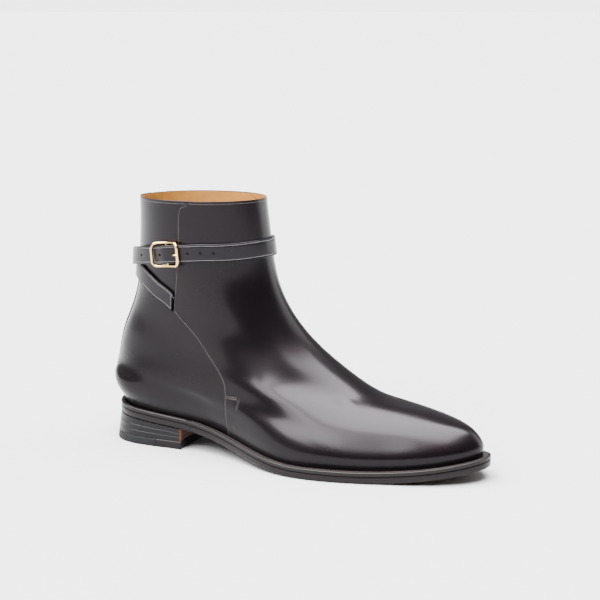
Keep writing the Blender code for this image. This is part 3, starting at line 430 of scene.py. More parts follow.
def evenly(path, facing, pitch):
    # Points every pitch along a path, with the path's direction and the surface's normal there
    run = runAlong(path)
    places = np.arange(pitch * 0.5, run[-1] - pitch * 0.3, pitch)

    def pick(rows, shift=0.0):
        return np.column_stack([np.interp(places + shift, run, rows[:, k]) for k in range(3)])

    return pick(path), unit(pick(path, pitch * 0.2) - pick(path, -pitch * 0.2)), unit(pick(facing))


def beadMesh(at, along, up, size, turns=7, rows=5):
    # One ellipsoid of half-sizes size on each point: its long axis along, its short axis up
    v = np.linspace(0, math.pi, rows + 2)[1:-1]
    u = np.linspace(0, fullTurn, turns, endpoint=False)
    ring = np.stack([np.cos(v)[:, None] + 0 * u, np.sin(v)[:, None] * np.cos(u),
                     np.sin(v)[:, None] * np.sin(u)], -1).reshape(-1, 3)
    shape = np.concatenate([[[1, 0, 0]], ring, [[-1, 0, 0]]]) * size
    axes = np.stack([along, unit(np.cross(up, along)), unit(up)], 1)
    points = at[:, None] + np.einsum("pk,nkc->npc", shape, axes)
    k = np.arange(turns)
    n = (k + 1) % turns
    last = 1 + rows * turns
    tips = [np.stack([0 * k, 1 + k, 1 + n, 1 + n], -1),
            np.stack([0 * k + last, last - turns + n, last - turns + k, last - turns + k], -1)]
    row = np.arange(rows - 1)[:, None] * turns + 1
    side = np.stack([row + k, row + turns + k, row + turns + n, row + n], -1).reshape(-1, 4)
    one = np.concatenate([side, *tips])
    faces = (np.arange(len(at))[:, None, None] * len(shape) + one).reshape(-1, 4)
    return points.reshape(-1, 3), faces


def addBeads(name, rows, size, material, slot):
    # Several rows of stitches or nails in one piece
    points, faces, base = [], [], 0
    for at, along, up in rows:
        some, quads = beadMesh(at, along, up, size)
        points.append(some)
        faces.append(quads + base)
        base += len(some)
    addPiece(name, np.concatenate(points), np.concatenate(faces), material, slot, sharp=None)


# Materials

def hexLinear(code):
    # An sRGB hex colour as linear light, as Blender's colour sockets want it
    part = np.array([int(code[k:k + 2], 16) for k in (1, 3, 5)]) / 255
    return (*np.where(part <= 0.04045, part / 12.92, ((part + 0.055) / 1.055) ** 2.4).tolist(), 1)


def addNode(tree, kind, settings=None, links=None):
    # Adds a node, sets its properties or sockets, and links its sockets to other nodes' outputs
    made = tree.nodes.new(kind)
    for key, value in (settings or {}).items():
        if isinstance(key, str) and hasattr(made, key):
            setattr(made, key, value)
        else:
            made.inputs[key].default_value = value
    for key, source in (links or {}).items():
        tree.links.new(source, made.inputs[key])
    return made


def startMaterial(name):
    # A material with its shader, and the Object coordinates that every pattern reads
    material = bpy.data.materials.new(name)
    material.use_nodes = True
    tree = material.node_tree
    place = addNode(tree, "ShaderNodeTexCoord").outputs["Object"]
    return material, tree, tree.nodes["Principled BSDF"], place


def perMetre(size):
    # A Noise or Voronoi pattern's scale for cells of that size in metres
    return 1 / size


def wireShader(tree, shader, rough, bump, tone=None):
    # Links roughness, normal and, where given, colour to the shader
    tree.links.new(rough.outputs[0], shader.inputs["Roughness"])
    tree.links.new(bump.outputs[0], shader.inputs["Normal"])
    if tone:
        tree.links.new(tone.outputs[2], shader.inputs["Base Color"])


def polishedCalf(name, base, light, edge, grain=0.00075, grainDepth=0.08):
    # Box calf, aniline dyed and waxed: near-black with a violet grey cast, a soft broken gloss
    # from fine grain under a thin coat of wax, and a brown cut edge where the dye thins.
    material, tree, shader, place = startMaterial(name)
    cloud = addNode(tree, "ShaderNodeTexNoise", {"Scale": perMetre(0.045), "Detail": 3.0}, {"Vector": place})
    tone = addNode(tree, "ShaderNodeMix", {"data_type": "RGBA", 6: hexLinear(base), 7: hexLinear(light)},
                   {0: cloud.outputs["Fac"]})
    cut = addNode(tree, "ShaderNodeAttribute", {"attribute_name": "cutEdge"})
    colour = addNode(tree, "ShaderNodeMix", {"data_type": "RGBA", 7: hexLinear(edge)},
                     {0: cut.outputs["Fac"], 6: tone.outputs[2]})
    pores = addNode(tree, "ShaderNodeTexVoronoi", {"Scale": perMetre(grain * 1.6)}, {"Vector": place})
    fine = addNode(tree, "ShaderNodeTexNoise", {"Scale": perMetre(grain), "Detail": 2.0}, {"Vector": place})
    mixed = addNode(tree, "ShaderNodeMath", {"operation": "MULTIPLY_ADD", 1: 0.35},
                    {0: pores.outputs["Distance"], 2: fine.outputs["Fac"]})
    bump = addNode(tree, "ShaderNodeBump", {"Strength": grainDepth * 4, "Distance": grain * 0.25},
                   {"Height": mixed.outputs[0]})
    rough = addNode(tree, "ShaderNodeMapRange", {"To Min": 0.24, "To Max": 0.33},
                    {"Value": cloud.outputs["Fac"]})
    wireShader(tree, shader, rough, bump, colour)
    shader.inputs["Specular IOR Level"].default_value = 0.105
    shader.inputs["Specular Tint"].default_value = hexLinear("#FFF0FA")
    shader.inputs["Coat Weight"].default_value = 0.11
    shader.inputs["Coat Roughness"].default_value = 0.13
    return material


def plainLeather(name, base, light, roughLow, roughHigh, patch=0.012, grain=0.0006, depth=0.15):
    # Vegetable tanned leather with no polish: two tones in soft clouds, fibres in a fine matt grain.
    # The same recipe gives the rubber tip and the waxed threads, by their own tones and roughness.
    material, tree, shader, place = startMaterial(name)
    cloud = addNode(tree, "ShaderNodeTexNoise", {"Scale": perMetre(patch), "Detail": 5.0, "Roughness": 0.6},
                    {"Vector": place})
    tone = addNode(tree, "ShaderNodeMix", {"data_type": "RGBA", 6: hexLinear(base), 7: hexLinear(light)},
                   {0: cloud.outputs["Fac"]})
    fine = addNode(tree, "ShaderNodeTexNoise", {"Scale": perMetre(grain), "Detail": 3.0}, {"Vector": place})
    bump = addNode(tree, "ShaderNodeBump", {"Strength": depth, "Distance": grain * 0.5},
                   {"Height": fine.outputs["Fac"]})
    rough = addNode(tree, "ShaderNodeMapRange", {"To Min": roughLow, "To Max": roughHigh},
                    {"Value": cloud.outputs["Fac"]})
    wireShader(tree, shader, rough, bump, tone)
    shader.inputs["Specular IOR Level"].default_value = 0.2
    return material


def edgedLeather(name, base, light, edgeBase, edgeLight):
    # Sole leather: stained brown below and at the heel's breast, where the mark "bare" is 1, and
    # dressed with black edge wax on its sides, which are smoother and nearly black.
    material, tree, shader, place = startMaterial(name)
    cloud = addNode(tree, "ShaderNodeTexNoise", {"Scale": perMetre(0.02), "Detail": 5.0, "Roughness": 0.6},
                    {"Vector": place}).outputs["Fac"]
    bare = addNode(tree, "ShaderNodeAttribute", {"attribute_name": "bare"}).outputs["Fac"]
    tones = [addNode(tree, "ShaderNodeMix", {"data_type": "RGBA", 6: hexLinear(a), 7: hexLinear(b)},
                     {0: cloud}).outputs[2] for a, b in ((edgeBase, edgeLight), (base, light))]
    tone = addNode(tree, "ShaderNodeMix", {"data_type": "RGBA"}, {0: bare, 6: tones[0], 7: tones[1]})
    fine = addNode(tree, "ShaderNodeTexNoise", {"Scale": perMetre(0.0006), "Detail": 3.0}, {"Vector": place})
    bump = addNode(tree, "ShaderNodeBump", {"Strength": 0.12, "Distance": 0.0003},
                   {"Height": fine.outputs["Fac"]})
    rough = addNode(tree, "ShaderNodeMapRange", {"To Min": 0.34, "To Max": 0.42}, {"Value": bare})
    wireShader(tree, shader, rough, bump, tone)
    shader.inputs["Specular IOR Level"].default_value = 0.16
    return material


def polishedBrass(name):
    # Polished brass: warm yellow, nearly a mirror, with faint tumbling marks that break the reflection
    material, tree, shader, place = startMaterial(name)
    marks = addNode(tree, "ShaderNodeTexNoise", {"Scale": perMetre(0.0012), "Detail": 3.0}, {"Vector": place})
    rough = addNode(tree, "ShaderNodeMapRange", {"To Min": 0.12, "To Max": 0.26},
                    {"Value": marks.outputs["Fac"]})
    bump = addNode(tree, "ShaderNodeBump", {"Strength": 0.12, "Distance": 0.0001},
                   {"Height": marks.outputs["Fac"]})
    wireShader(tree, shader, rough, bump)
    shader.inputs["Base Color"].default_value = hexLinear("#E6C47C")
    shader.inputs["Metallic"].default_value = 1.0
    return material


calf = polishedCalf("polishedBlackBoxCalf", "#040203", "#070506", "#2A1A12")
strapCalf = polishedCalf("strapCalfWaxed", "#0A090B", "#0F0E10", "#1A1311", grain=0.0006)
liningCalf = plainLeather("tanCalfLining", "#80531F", "#9A6B30", 0.55, 0.7, patch=0.004, grain=0.0005,
                          depth=0.3)
sockLeather = plainLeather("tanInsoleSock", "#62401A", "#765024", 0.5, 0.65)
treadLeather = edgedLeather("brownWaxedSoleLeather", "#331A0E", "#4C2816", "#0B0708", "#120C0D")
weltLeather = plainLeather("blackDressedWelt", "#0B0808", "#120D0D", 0.28, 0.42, patch=0.006, depth=0.1)
heelLeather = edgedLeather("dressedHeelLifts", "#331A10", "#4C2818", "#080708", "#0E0C0D")
tipRubber = plainLeather("blackRubberTip", "#09090A", "#0F0F10", 0.6, 0.75, patch=0.01)
seamThread = plainLeather("waxedGreyBrownThread", "#332D2C", "#524A48", 0.4, 0.5, patch=0.002)
# The strap's thread is grey thread, set paler than the seam's so that its tone also paints the light the
# strap's stitches catch: partly its own colour, partly a painted highlight.
strapThreadPaintedLight = plainLeather("waxedGreyThreadPaintedHighlight", "#4E4B4D", "#6E6B6D", 0.4, 0.5, patch=0.002)
weltThread = plainLeather("waxedDarkThread", "#241D1C", "#453B3A", 0.35, 0.45, patch=0.002)
brass = polishedBrass("polishedBrass")
print("materials made")


# Upper: calf shells over a lining

coarse = 1
shell = {
    "rows": 150,
    "rimRows": 46,
    "columns": 170,
    "edgeRound": 0.00035,
    "liningDrop": 0.0006,
    "flapReach": 0.45,       # how far the quarter runs on under the vamp, in radians
    "flapLeast": 2.35,       # the least angle of its front edge
    "flapCorner": (0.955, 0.62),  # level where its top corner starts, and how far that turns back
    "quarterInside": 0.0022,
    "vampInside": 0.0019,
    "vampLiningFrom": 1.9,   # angle where the vamp's lining starts
}


def upperRows(rows, rimRows, rimDrop=0.0):
    # Levels from foot to collar, closer together at the rounded corner and the rim
    top = 1 - rimDrop * levelPerMetre
    rim = top - shell["edgeRound"] * levelPerMetre * (1 - np.array((0, 0.35, 0.65, 0.85, 0.96, 1.0)))
    return np.concatenate([np.linspace(0, 0.92, rows // coarse, endpoint=False),
                           np.linspace(0.92, rim[0], rimRows // coarse, endpoint=False), rim])


def quarterFront(levels):
    # The quarter's front edge, under the vamp; its top corner is a quarter of an ellipse
    start, turn = shell["flapCorner"]
    corner = np.clip((levels - start) / (1 - start), 0, 1)
    reach = np.maximum(vampEdgeAngle(levels) + shell["flapReach"], shell["flapLeast"])
    return reach - turn * (1 - np.sqrt(1 - corner ** 2))


def edgeDrop(distance, radius):
    # How far a rounded edge has fallen at a distance in from it: a quarter circle
    inside = np.clip(1 - distance / radius, 0, 1)
    return radius * (1 - np.sqrt(np.clip(1 - inside ** 2, 0, 1)))


def calfShell(levels, start, end, outTop, outBottom, columns):
    # Rings at each level: the outer face from start to end, then the inner face back again.
    # The outer face falls away by a quarter circle at both side edges and at the rim.
    radius = shell["edgeRound"]
    rim = (levels[-1] - levels) / levelPerMetre
    small = radius / np.maximum(metresPerRadian(start, levels), 0.004)
    near = np.array((0, 0.04, 0.15, 0.35, 0.65, 1.0))
    share = np.linspace(0, 1, columns // coarse)[1:-1]
    head = start[:, None] + small[:, None] * near
    tail = end[:, None] - small[:, None] * near[::-1]
    middle = head[:, -1:] + (tail[:, :1] - head[:, -1:]) * share
    angle = np.concatenate([head, middle, tail], axis=1)
    inEdge = np.concatenate([near * radius, np.full(len(share), 1.0), near[::-1] * radius])
    drop = edgeDrop(inEdge, radius)[None, :] + edgeDrop(rim, radius)[:, None]
    outer, inner = onUpper(angle, levels[:, None],
                           outTop - np.minimum(drop, outTop - outBottom - 0.0001), outBottom)
    rings = np.concatenate([outer, inner[:, ::-1]], axis=1)
    cut = np.concatenate([drop / radius, np.ones_like(drop)], axis=1)
    return rings, smoothStep(cut, 0.25, 0.8)


calfThick, wallThick = upper["leather"], upper["wall"]
levels = upperRows(shell["rows"], shell["rimRows"])
seam = vampEdgeAngle(levels)
rings, cut = calfShell(levels, seam, fullTurn - seam, 0.0, -calfThick * 0.95, shell["columns"])
addLoft("vamp", rings, calf, "upper_calf", replaces=("upper",), marks={"cutEdge": cut})

front = quarterFront(levels)
inside = -shell["quarterInside"]
rings, cut = calfShell(levels, -front, front, -calfThick, inside, shell["columns"])
addLoft("quarters", rings, calf, "upper_calf", marks={"cutEdge": cut})

levels = upperRows(60, 16, shell["liningDrop"])
front = quarterFront(levels) - 0.03
rings, cut = calfShell(levels, -front, front, inside, -wallThick, 70)
addLoft("quarterLining", rings, liningCalf, "upper_calf")
front = shell["vampLiningFrom"] + 0 * levels
rings, cut = calfShell(levels, front, fullTurn - front, -calfThick, -shell["vampInside"], 80)
addLoft("vampLining", rings, liningCalf, "upper_calf")
print("upper made")


# Backstay

backstay = {"wide": 0.015, "proud": 0.0002, "under": -0.0007, "from": 0.004, "columns": 13,
            "round": 0.0005, "stitchIn": 0.0013}

levels = upperRows(90, 20)
levels = levels[levels > levelKnots[1] + backstay["from"] * levelPerMetre]
half = backstay["wide"] / 2 / metresPerRadian(0, levels, 0.02)
across = np.concatenate([[-1, -0.985, -0.95, -0.9], np.linspace(-0.85, 0.85, backstay["columns"]),
                         [0.9, 0.95, 0.985, 1]])
drop = edgeDrop((1 - np.abs(across)) * backstay["wide"] / 2, backstay["round"])
outer, inner = onUpper(across * half[:, None], levels[:, None], backstay["proud"] - drop, backstay["under"])
rings = np.concatenate([outer, inner[:, ::-1]], axis=1)
addLoft("backstayStrip", rings, calf, "backstay_calf", replaces=("backstay",))
print("backstay made")


# Sole, welt and heel

edge = {
    "round": 0.0012,
    "columns": 480,
    "channelIn": 0.0062,     # the stitched channel's distance from the sole's edge
    "channelWide": 0.0011,
    "channelDeep": 0.0004,
    "weltColumns": 1500,
    "randColumns": 420,
    "weltPitch": 0.0023,
    "weltRound": 0.0009,
}

angles = np.linspace(0, fullTurn, edge["columns"], endpoint=False) + math.pi / edge["columns"]
breastAngle = math.acos(1 - 2 * (sole["heelLength"] + 0.004) / sole["length"])
fore = smoothStep(np.arccos(np.cos(angles)), breastAngle + 0.05, breastAngle + 0.12)


def soleRing(out, rise):
    # A ring round the sole, out from its edge and up from its underside
    return onSole(angles, out, rise)


rings = [soleRing(-0.0085, 0)]
for step in np.linspace(-1, 1, 9):
    deep = edge["channelDeep"] * (1 - step * step) * fore
    out = -edge["channelIn"] + step * edge["channelWide"] / 2
    rings.append(soleRing(out, 0) + deep[:, None] * (0, 0, 1))
for turn in np.radians(np.linspace(0, 90, 6)):
    rings.append(soleRing(-edge["round"] * (1 - math.sin(turn)), edge["round"] * (1 - math.cos(turn))))
top = sole["thick"]
rings += [soleRing(0.0, top * 0.6), soleRing(0.0, top - 0.0004), soleRing(-0.0001, top - 0.00015),
          soleRing(-0.0004, top), soleRing(-0.008, top)]
rings = np.array(rings)
bare = np.zeros(rings.shape[:2])
bare[:-9] = 1
addLoft("soleLeather", rings, treadLeather, "sole_leather", replaces=("outsole",), marks={"bare": bare})


def stripRings(start, end, count, thick, notch):
    # Across the strip: under the sole's edge, up its rounded side, over the top to the upper's foot.
    # The top carries the wheel's fine notches, a cosine along the edge.
    angle = np.linspace(start, end, count)
    inset = planColumn(3, angle)
    run = runAlong(onSole(angle, 0, 0))
    wheel = notch * (0.5 + 0.5 * np.cos(run * fullTurn / edge["weltPitch"]))
    r = edge["weltRound"]
    inner = -inset + sole["gap"]
    section = [(inner, 0), (-0.0004, 0), (0, 0.0003), (0, thick - r)]
    for turn in np.radians((30, 60, 90)):
        section.append((-r * (1 - math.cos(turn)), thick - r * (1 - math.sin(turn))))
    section += [(-0.0014, thick), (-0.0018, thick), (-0.0024, thick - 0.00015), (-0.0030, thick)]
    rows = []
    for k, (out, rise) in enumerate(section):
        worn = wheel * (4 < k < 9)
        rows.append(onSole(angle, np.maximum(out, inner), rise - worn + weltFoot))
    rows.append(onSole(angle, inner, thick + weltFoot))
    return np.stack(rows, axis=1)


joint = sole["gap"] / (sole["length"] / 2 * math.sin(breastAngle))
rings = stripRings(breastAngle, fullTurn - breastAngle, edge["weltColumns"], sole["weltThick"], 0.00022)
addLoft("weltStrip", rings, weltLeather, "welt_leather", replaces=("welt",))
rings = stripRings(fullTurn - breastAngle + joint, fullTurn + breastAngle - joint, edge["randColumns"],
                   sole["weltThick"], 0.0001)
addLoft("seatRand", rings, weltLeather, "welt_leather", replaces=("seat_rand",))

heel = {"flare": 0.0030, "topThick": 0.006, "hollow": 0.0025, "lifts": 3, "liftGroove": 0.0002,
        "sideColumns": 70, "breastColumns": 24, "split": 0.36, "splitTurn": math.radians(33)}


def heelRing(flare, groove=0.0):
    # The sole's outline back of the breast, flared at the back, closed by the breast's hollow arc
    last = math.acos(1 - 2 * (sole["heelLength"] - 0.0015) / sole["length"])
    outer = np.linspace(0, last, heel["sideColumns"])
    sides = [soleOffset(a, flare * np.clip(np.cos(a), 0, 1) ** 2 - groove)
             for a in (outer, fullTurn - outer[::-1])]
    left, right = sides[0][-1], sides[1][0]
    share = np.linspace(0, 1, heel["breastColumns"])[1:-1, None]
    breast = left + (right - left) * share
    breast[:, :1] -= heel["hollow"] * 4 * share * (1 - share) + groove
    return np.concatenate([sides[0], breast, sides[1][:-1]])


def atHeight(flat, z):
    # A flat outline lifted to z
    return np.column_stack([flat, z + 0 * flat[:, 0]])


def seatHeight(flat):
    # The sole's underside over the heel: a straight slope down to the breast, less the joint's gap
    return (sole["heelHeight"] - sole["gap"] + sole["seatRise"] * (1 - flat[:, 0] / sole["heelLength"]))


def makeHeelStack():
    # Rings up the stack, each lift's joint a fine groove; heights run from the top piece to the seat
    share = heel["topThick"] / (sole["heelHeight"] + sole["seatRise"])
    marks = []
    for lift in range(heel["lifts"]):
        low, high = lift / heel["lifts"], (lift + 1) / heel["lifts"]
        marks += [(low, 1), (low + 0.02, 0), (high - 0.02, 0)]
    marks.append((1.0, 0))
    rings = []
    for part, groove in marks:
        flare = heel["flare"] * (1 - share) * (1 - part)
        flat = heelRing(flare, heel["liftGroove"] * groove)
        bottom = heel["topThick"] + sole["gap"]
        rings.append(atHeight(flat, bottom + part * (seatHeight(flat) - bottom)))
    return rings


def splitRing(flat, front):
    # The part of a closed outline on one side of the slanted joint: its own points, then the joint
    normal = np.array([math.cos(heel["splitTurn"]), math.sin(heel["splitTurn"])])
    shift = 0.0 if front else -sole["gap"]
    side = (flat - (heel["split"] * sole["heelLength"], 0)) @ normal - shift  # above 0 in front
    if not front:
        side = -side
    closed, value = np.vstack([flat, flat[:1]]), np.append(side, side[0])
    cross = np.nonzero(np.diff(np.sign(value)) != 0)[0]
    hits = [closed[k] + (closed[k + 1] - closed[k]) * value[k] / (value[k] - value[k + 1]) for k in cross]
    enter = 0 if value[cross[0]] < 0 else 1
    start, stop = cross[enter] + 1, cross[1 - enter]
    count = len(flat)
    kept = flat[np.arange(start, stop + 1 + (count if stop < start else 0)) % count]
    outline = np.vstack([hits[enter], kept, hits[1 - enter]])
    run = runAlong(outline)
    even = np.linspace(0, run[-1], 150)
    outline = np.column_stack([np.interp(even, run, outline[:, k]) for k in (0, 1)])
    joint = hits[1 - enter] + (hits[enter] - hits[1 - enter]) * np.linspace(0, 1, 32)[1:-1, None]
    return np.vstack([outline, joint])


def makeTopPiece(front):
    # Rings up the piece: a small round at the floor, then the stack's flare, narrower as it rises
    share = heel["topThick"] / (sole["heelHeight"] + sole["seatRise"])
    rings = []
    for z, part, groove in ((0.0, 1.0, 0.0006), (0.00018, 1.0, 0.00018), (0.0006, 1.0, 0.0),
                            (heel["topThick"] - 0.0004, 1 - share * 0.93, 0.0),
                            (heel["topThick"], 1 - share, 0.0003)):
        rings.append(atHeight(splitRing(heelRing(heel["flare"] * part, groove), front), z))
    return rings


def breastMark(rings):
    # 1 on the heel's hollow breast, which is stained brown, and 0 on its dressed sides
    mark = np.zeros((len(rings), len(rings[0])))
    mark[:, heel["sideColumns"] - 1:heel["sideColumns"] + heel["breastColumns"] - 1] = 1
    return mark


rings = makeHeelStack()
addLoft("heelLifts", rings, heelLeather, "heel_leather", replaces=("heel_stack",), sharp=30,
        marks={"bare": breastMark(rings)})
rings = makeTopPiece(True)
bare = np.zeros((len(rings), len(rings[0])))
bare[0] = 1
addLoft("heelTopPiece", rings, treadLeather, "sole_leather", replaces=("top_piece",), sharp=30,
        marks={"bare": bare})
addLoft("heelQuarterTip", makeTopPiece(False), tipRubber, "heel_rubber", replaces=("heel_tip",), sharp=30)

foot = -planColumn(3, angles)
clear = upper["featherRound"] + wallThick + sole["gap"]
rest = weltFoot + 0.0023
sock = 0.0025
rings = [onSole(angles, foot - clear - inset, rest + rise)
         for inset, rise in ((0, 0), (0, sock - 0.0006), (0.0003, sock - 0.0001), (0.0009, sock))]
addLoft("insoleSock", rings, sockLeather, "insole_leather", replaces=("insole",))
print("sole and heel made")


# Strap

strap = {
    "wide": 0.0136,
    "thick": 0.0021,
    "round": 0.0006,
    "endSlant": 0.0021,
    "stitchIn": 0.0015,
    "holeTurns": (-0.8685, -0.798, -0.7635, -0.732, -0.7024, -0.6723),
    "holeRadius": 0.00095,
    "holeDeep": 0.0014,
}

# Turns round the shaft, height of the strap's middle as a share of the collar's height, and how far
# its inner face stands off the vamp's surface, from the sewn end round to the free tip.
strapWay = np.array([
    (0.2065, 0.5915, -0.0006), (0.195, 0.612, -0.0006), (0.161, 0.645, -0.0006),
    (0.136, 0.670, -0.0006), (0.100, 0.695, -0.0006), (0.060, 0.711, 0.0000),
    (0.000, 0.724, 0.0006), (-0.060, 0.735, 0.0006), (-0.100, 0.744, 0.0000),
    (-0.160, 0.760, 0.0000), (-0.215, 0.775, 0.0005), (-0.330, 0.801, 0.0005),
    (-0.450, 0.821, 0.0006), (-0.500, 0.823, 0.0006), (-0.540, 0.822, 0.0006),
    (-0.603, 0.816, 0.0005), (-0.653, 0.811, 0.0005), (-0.700, 0.808, 0.0005),
    (-0.730, 0.803, 0.0006), (-0.750, 0.800, 0.0008), (-0.768, 0.797, 0.0027),
    (-0.787, 0.793, 0.0036), (-0.806, 0.788, 0.0028), (-0.830, 0.782, 0.0019),
    (-0.860, 0.776, 0.0018), (-0.900, 0.767, 0.0020), (-0.930, 0.760, 0.0025),
    (-0.960, 0.754, 0.0030),
])


def strapLane(way):
    # Angle, height and stand-off at a share of the strap's way, read softly between strapWay's rows
    turns = strapWay[:, 0] * fullTurn
    run = np.concatenate([[0], np.cumsum(np.abs(np.diff(turns)))])
    run /= run[-1]
    angle, height, stand = (softInterp(run, c, way) for c in (turns, strapWay[:, 1], strapWay[:, 2]))
    return angle, height * upper["collarHeight"], stand


def onShaft(angle, height):
    # The surface point at a height, and its normal laid level
    base, facing = lastFrame(angle, levelAtHeight(angle, height))
    return base, unit(facing * (1, 1, 0))


def strapFrame(way):
    # Along the strap: its angle, height, stand-off, the way up across it and the angle per metre
    angle, height, stand = strapLane(way)
    ahead, behind = np.clip(way + 0.002, 0, 1), np.clip(way - 0.002, 0, 1)
    forward = onShaft(*strapLane(ahead)[:2])[0] - onShaft(*strapLane(behind)[:2])[0]
    here, facing = onShaft(angle, height)
    up = unit(np.cross(facing, unit(forward)))
    up *= np.sign(up[:, 2:3])
    beside = (onShaft(angle + tiny, height)[0] - here) / tiny
    turn = (up * beside).sum(-1) / (beside ** 2).sum(-1)
    return angle, height, stand, up[:, 2], turn


fineWay = np.linspace(0, 1, 400)
strapRun = runAlong(onShaft(*strapLane(fineWay)[:2])[0])
strapLength = strapRun[-1]


def strapPoint(run, across, out):
    # Points on the strap: run along it in metres, across from its middle, out from its inner face
    shape = np.broadcast(run, across, out).shape
    run, across, out = (np.broadcast_to(v, shape).ravel() for v in (run, across, out))
    keys = np.linspace(0, strapLength, 700)
    table = np.column_stack(strapFrame(np.interp(keys, strapRun, fineWay)))
    angle, height, stand, climb, turn = (np.interp(run, keys, column) for column in table.T)
    base, facing = onShaft(angle + across * turn, height + across * climb)
    return (base + facing * (stand + out)[:, None]).reshape(shape + (3,))


laneTurns = strapLane(fineWay)[0] / fullTurn
holeRun = np.interp([-turn for turn in strap["holeTurns"]], -laneTurns, strapRun)


def makeStrap():
    # Stations crowd round the holes; across, the face is a rounded slab with two stitched channels
    # and a punched pit at each hole.
    runs = [np.linspace(0, strapLength, 430)]
    runs += [hole + np.linspace(-1.7, 1.7, 19) * mm for hole in holeRun]
    run = np.unique(np.round(np.concatenate(runs), 5))
    half, r = strap["wide"] / 2, strap["round"]
    bend = np.radians((0, 25, 50, 70, 90))
    side = np.stack([half - r * (1 - np.cos(bend)), strap["thick"] - r * (1 - np.sin(bend))], -1)
    face = np.concatenate([np.linspace(half - r, 0.0018, 18)[1:-1], np.linspace(0.0018, -0.0018, 19),
                           np.linspace(-0.0018, -half + r, 18)[1:-1]])
    outer = np.concatenate([side, np.column_stack([face, 0 * face + strap["thick"]]), side[::-1] * (-1, 1)])
    back = np.array([(-half, r), (-half + r * 0.3, r * 0.3), (-half + r, 0), (-half * 0.3, 0),
                     (half * 0.3, 0), (half - r, 0), (half - r * 0.3, r * 0.3), (half, r)])
    section = np.concatenate([outer, back])
    across, out = section.T[:, None, :]
    tip = np.clip((strapLength - run) / (strap["wide"] * 0.30), 0, 1)
    narrow = (0.45 + 0.55 * np.sqrt(1 - (1 - tip) ** 2))[:, None]
    slant = strap["endSlant"] * np.clip(1 - run / (0.04 * strapLength), 0, 1)[:, None] * (1 + across / half)
    isFace = out > strap["thick"] - 1e-6
    channel = 0.00016 * np.exp(-((np.abs(across) - half + strap["stitchIn"]) / 0.0005) ** 2)
    crown = 0.00012 * (across / half) ** 2
    pit = np.zeros((len(run), 1)) * across
    for hole in holeRun:
        gone = np.hypot(run[:, None] - hole, across)
        rim = strap["holeRadius"]
        pit += strap["holeDeep"] * (1 - smoothStep(gone, rim * 0.75, rim * 1.15))
        pit += 0.00012 * np.exp(-(gone / 0.0018) ** 2)
    lowered = out - np.where(isFace, channel + crown + pit, 0)
    return strapPoint(run[:, None] + slant, across * narrow, lowered)


addLoft("ankleStrap", makeStrap(), strapCalf, "strap_calf", replaces=("strap",), sharp=50)
print("strap made")


# Buckle

buckle = {
    "length": 0.0256,
    "height": 0.0192,
    "wide": 0.0017,  # the frame's face, seen from outside
    "deep": 0.0020,
    "corner": 0.0050,
    "bar": 0.0007,
    "turns": 0.2130,
    "z": 0.792,
    "drop": 0.006,
    "barStand": 0.0013,
    "frontStand": 0.0048,
    "backStand": 0.0060,
    "prong": 0.00055,
}


def shaftPoint(turns, height, stand):
    # One point, stand off the shaft along its level normal
    base, facing = onShaft(np.array([turns * fullTurn]), np.array([height]))
    return (base + facing * stand)[0]


def buckleAxes():
    # The bar's middle, and the frame's two ends, each half its length before or behind the bar
    height = buckle["z"] * upper["collarHeight"]
    bar = shaftPoint(buckle["turns"], height, buckle["barStand"])
    beside = shaftPoint(buckle["turns"] + 0.01, height, buckle["barStand"])
    perMetreTurn = 0.01 / np.linalg.norm(beside - bar)
    reach = (buckle["length"] / 2 - 0.001) * perMetreTurn
    drop = buckle["drop"] * upper["collarHeight"]
    front = shaftPoint(buckle["turns"] + reach, height + drop, buckle["frontStand"])
    back = shaftPoint(buckle["turns"] - reach, height - drop, buckle["backStand"])
    return bar, front, back, perMetreTurn


def tubeRings(path, side, lift, halfSide, halfLift, power=2.0, count=16):
    # A rounded section carried along a path: |a/halfSide|^p + |b/halfLift|^p = 1
    turn = np.linspace(0, fullTurn, count, endpoint=False) + math.pi / count
    c, s = np.cos(turn), np.sin(turn)
    a = np.sign(c) * np.abs(c) ** (2 / power)
    b = np.sign(s) * np.abs(s) ** (2 / power)
    halfSide, halfLift = (np.broadcast_to(v, len(path))[:, None, None] for v in (halfSide, halfLift))
    return (path[:, None] + side[:, None] * a[None, :, None] * halfSide
            + lift[:, None] * b[None, :, None] * halfLift)


bar, frontEnd, backEnd, perMetreTurn = buckleAxes()
along = frontEnd - backEnd
reach = np.linalg.norm(along) / 2
along /= 2 * reach
middle = (frontEnd + backEnd) / 2
up = unit(np.array([0, 0, 1.0]) - along * along[2])
outward = np.cross(along, up)
bow = (bar - middle) @ outward


def buckleLoop(points=220):
    # A rounded rectangle by equal steps round it, bowed in towards the bar as a square of the reach
    rail = buckle["height"] / 2 - buckle["wide"] / 2
    corner = buckle["corner"] - buckle["wide"] / 2
    corners = []
    for signS, signV, start in ((1, 1, 0), (-1, 1, 90), (-1, -1, 180), (1, -1, 270)):
        turn = np.radians(np.linspace(start, start + 90, 14))
        corners.append(np.column_stack([signS * (reach - corner) + corner * np.cos(turn),
                                        signV * (rail - corner) + corner * np.sin(turn)]))
    loop = np.concatenate(corners + [corners[0][:1]])
    run = runAlong(loop)
    even = np.linspace(0, run[-1], points, endpoint=False)
    s, v = (np.interp(even, run, loop[:, k]) for k in (0, 1))
    path = middle + np.outer(s, along) + np.outer(v, up) + np.outer(bow * (1 - (s / reach) ** 2), outward)
    return path, s


path, s = buckleLoop()
tangent = unit(np.roll(path, -1, axis=0) - np.roll(path, 1, axis=0))
side = unit(np.cross(tangent, outward))
lift = unit(np.cross(side, tangent))
frontShare = smoothStep(s, reach * 0.55, reach * 0.95)
rings = tubeRings(path, side, lift, buckle["wide"] / 2 * (1 + 0.25 * frontShare),
                  buckle["deep"] / 2 * (1 + 0.15 * frontShare), power=2.6, count=18)
addLoft("buckleFrame", rings, brass, "buckle_brass", wrap=True, replaces=("buckle_frame",), sharp=60)

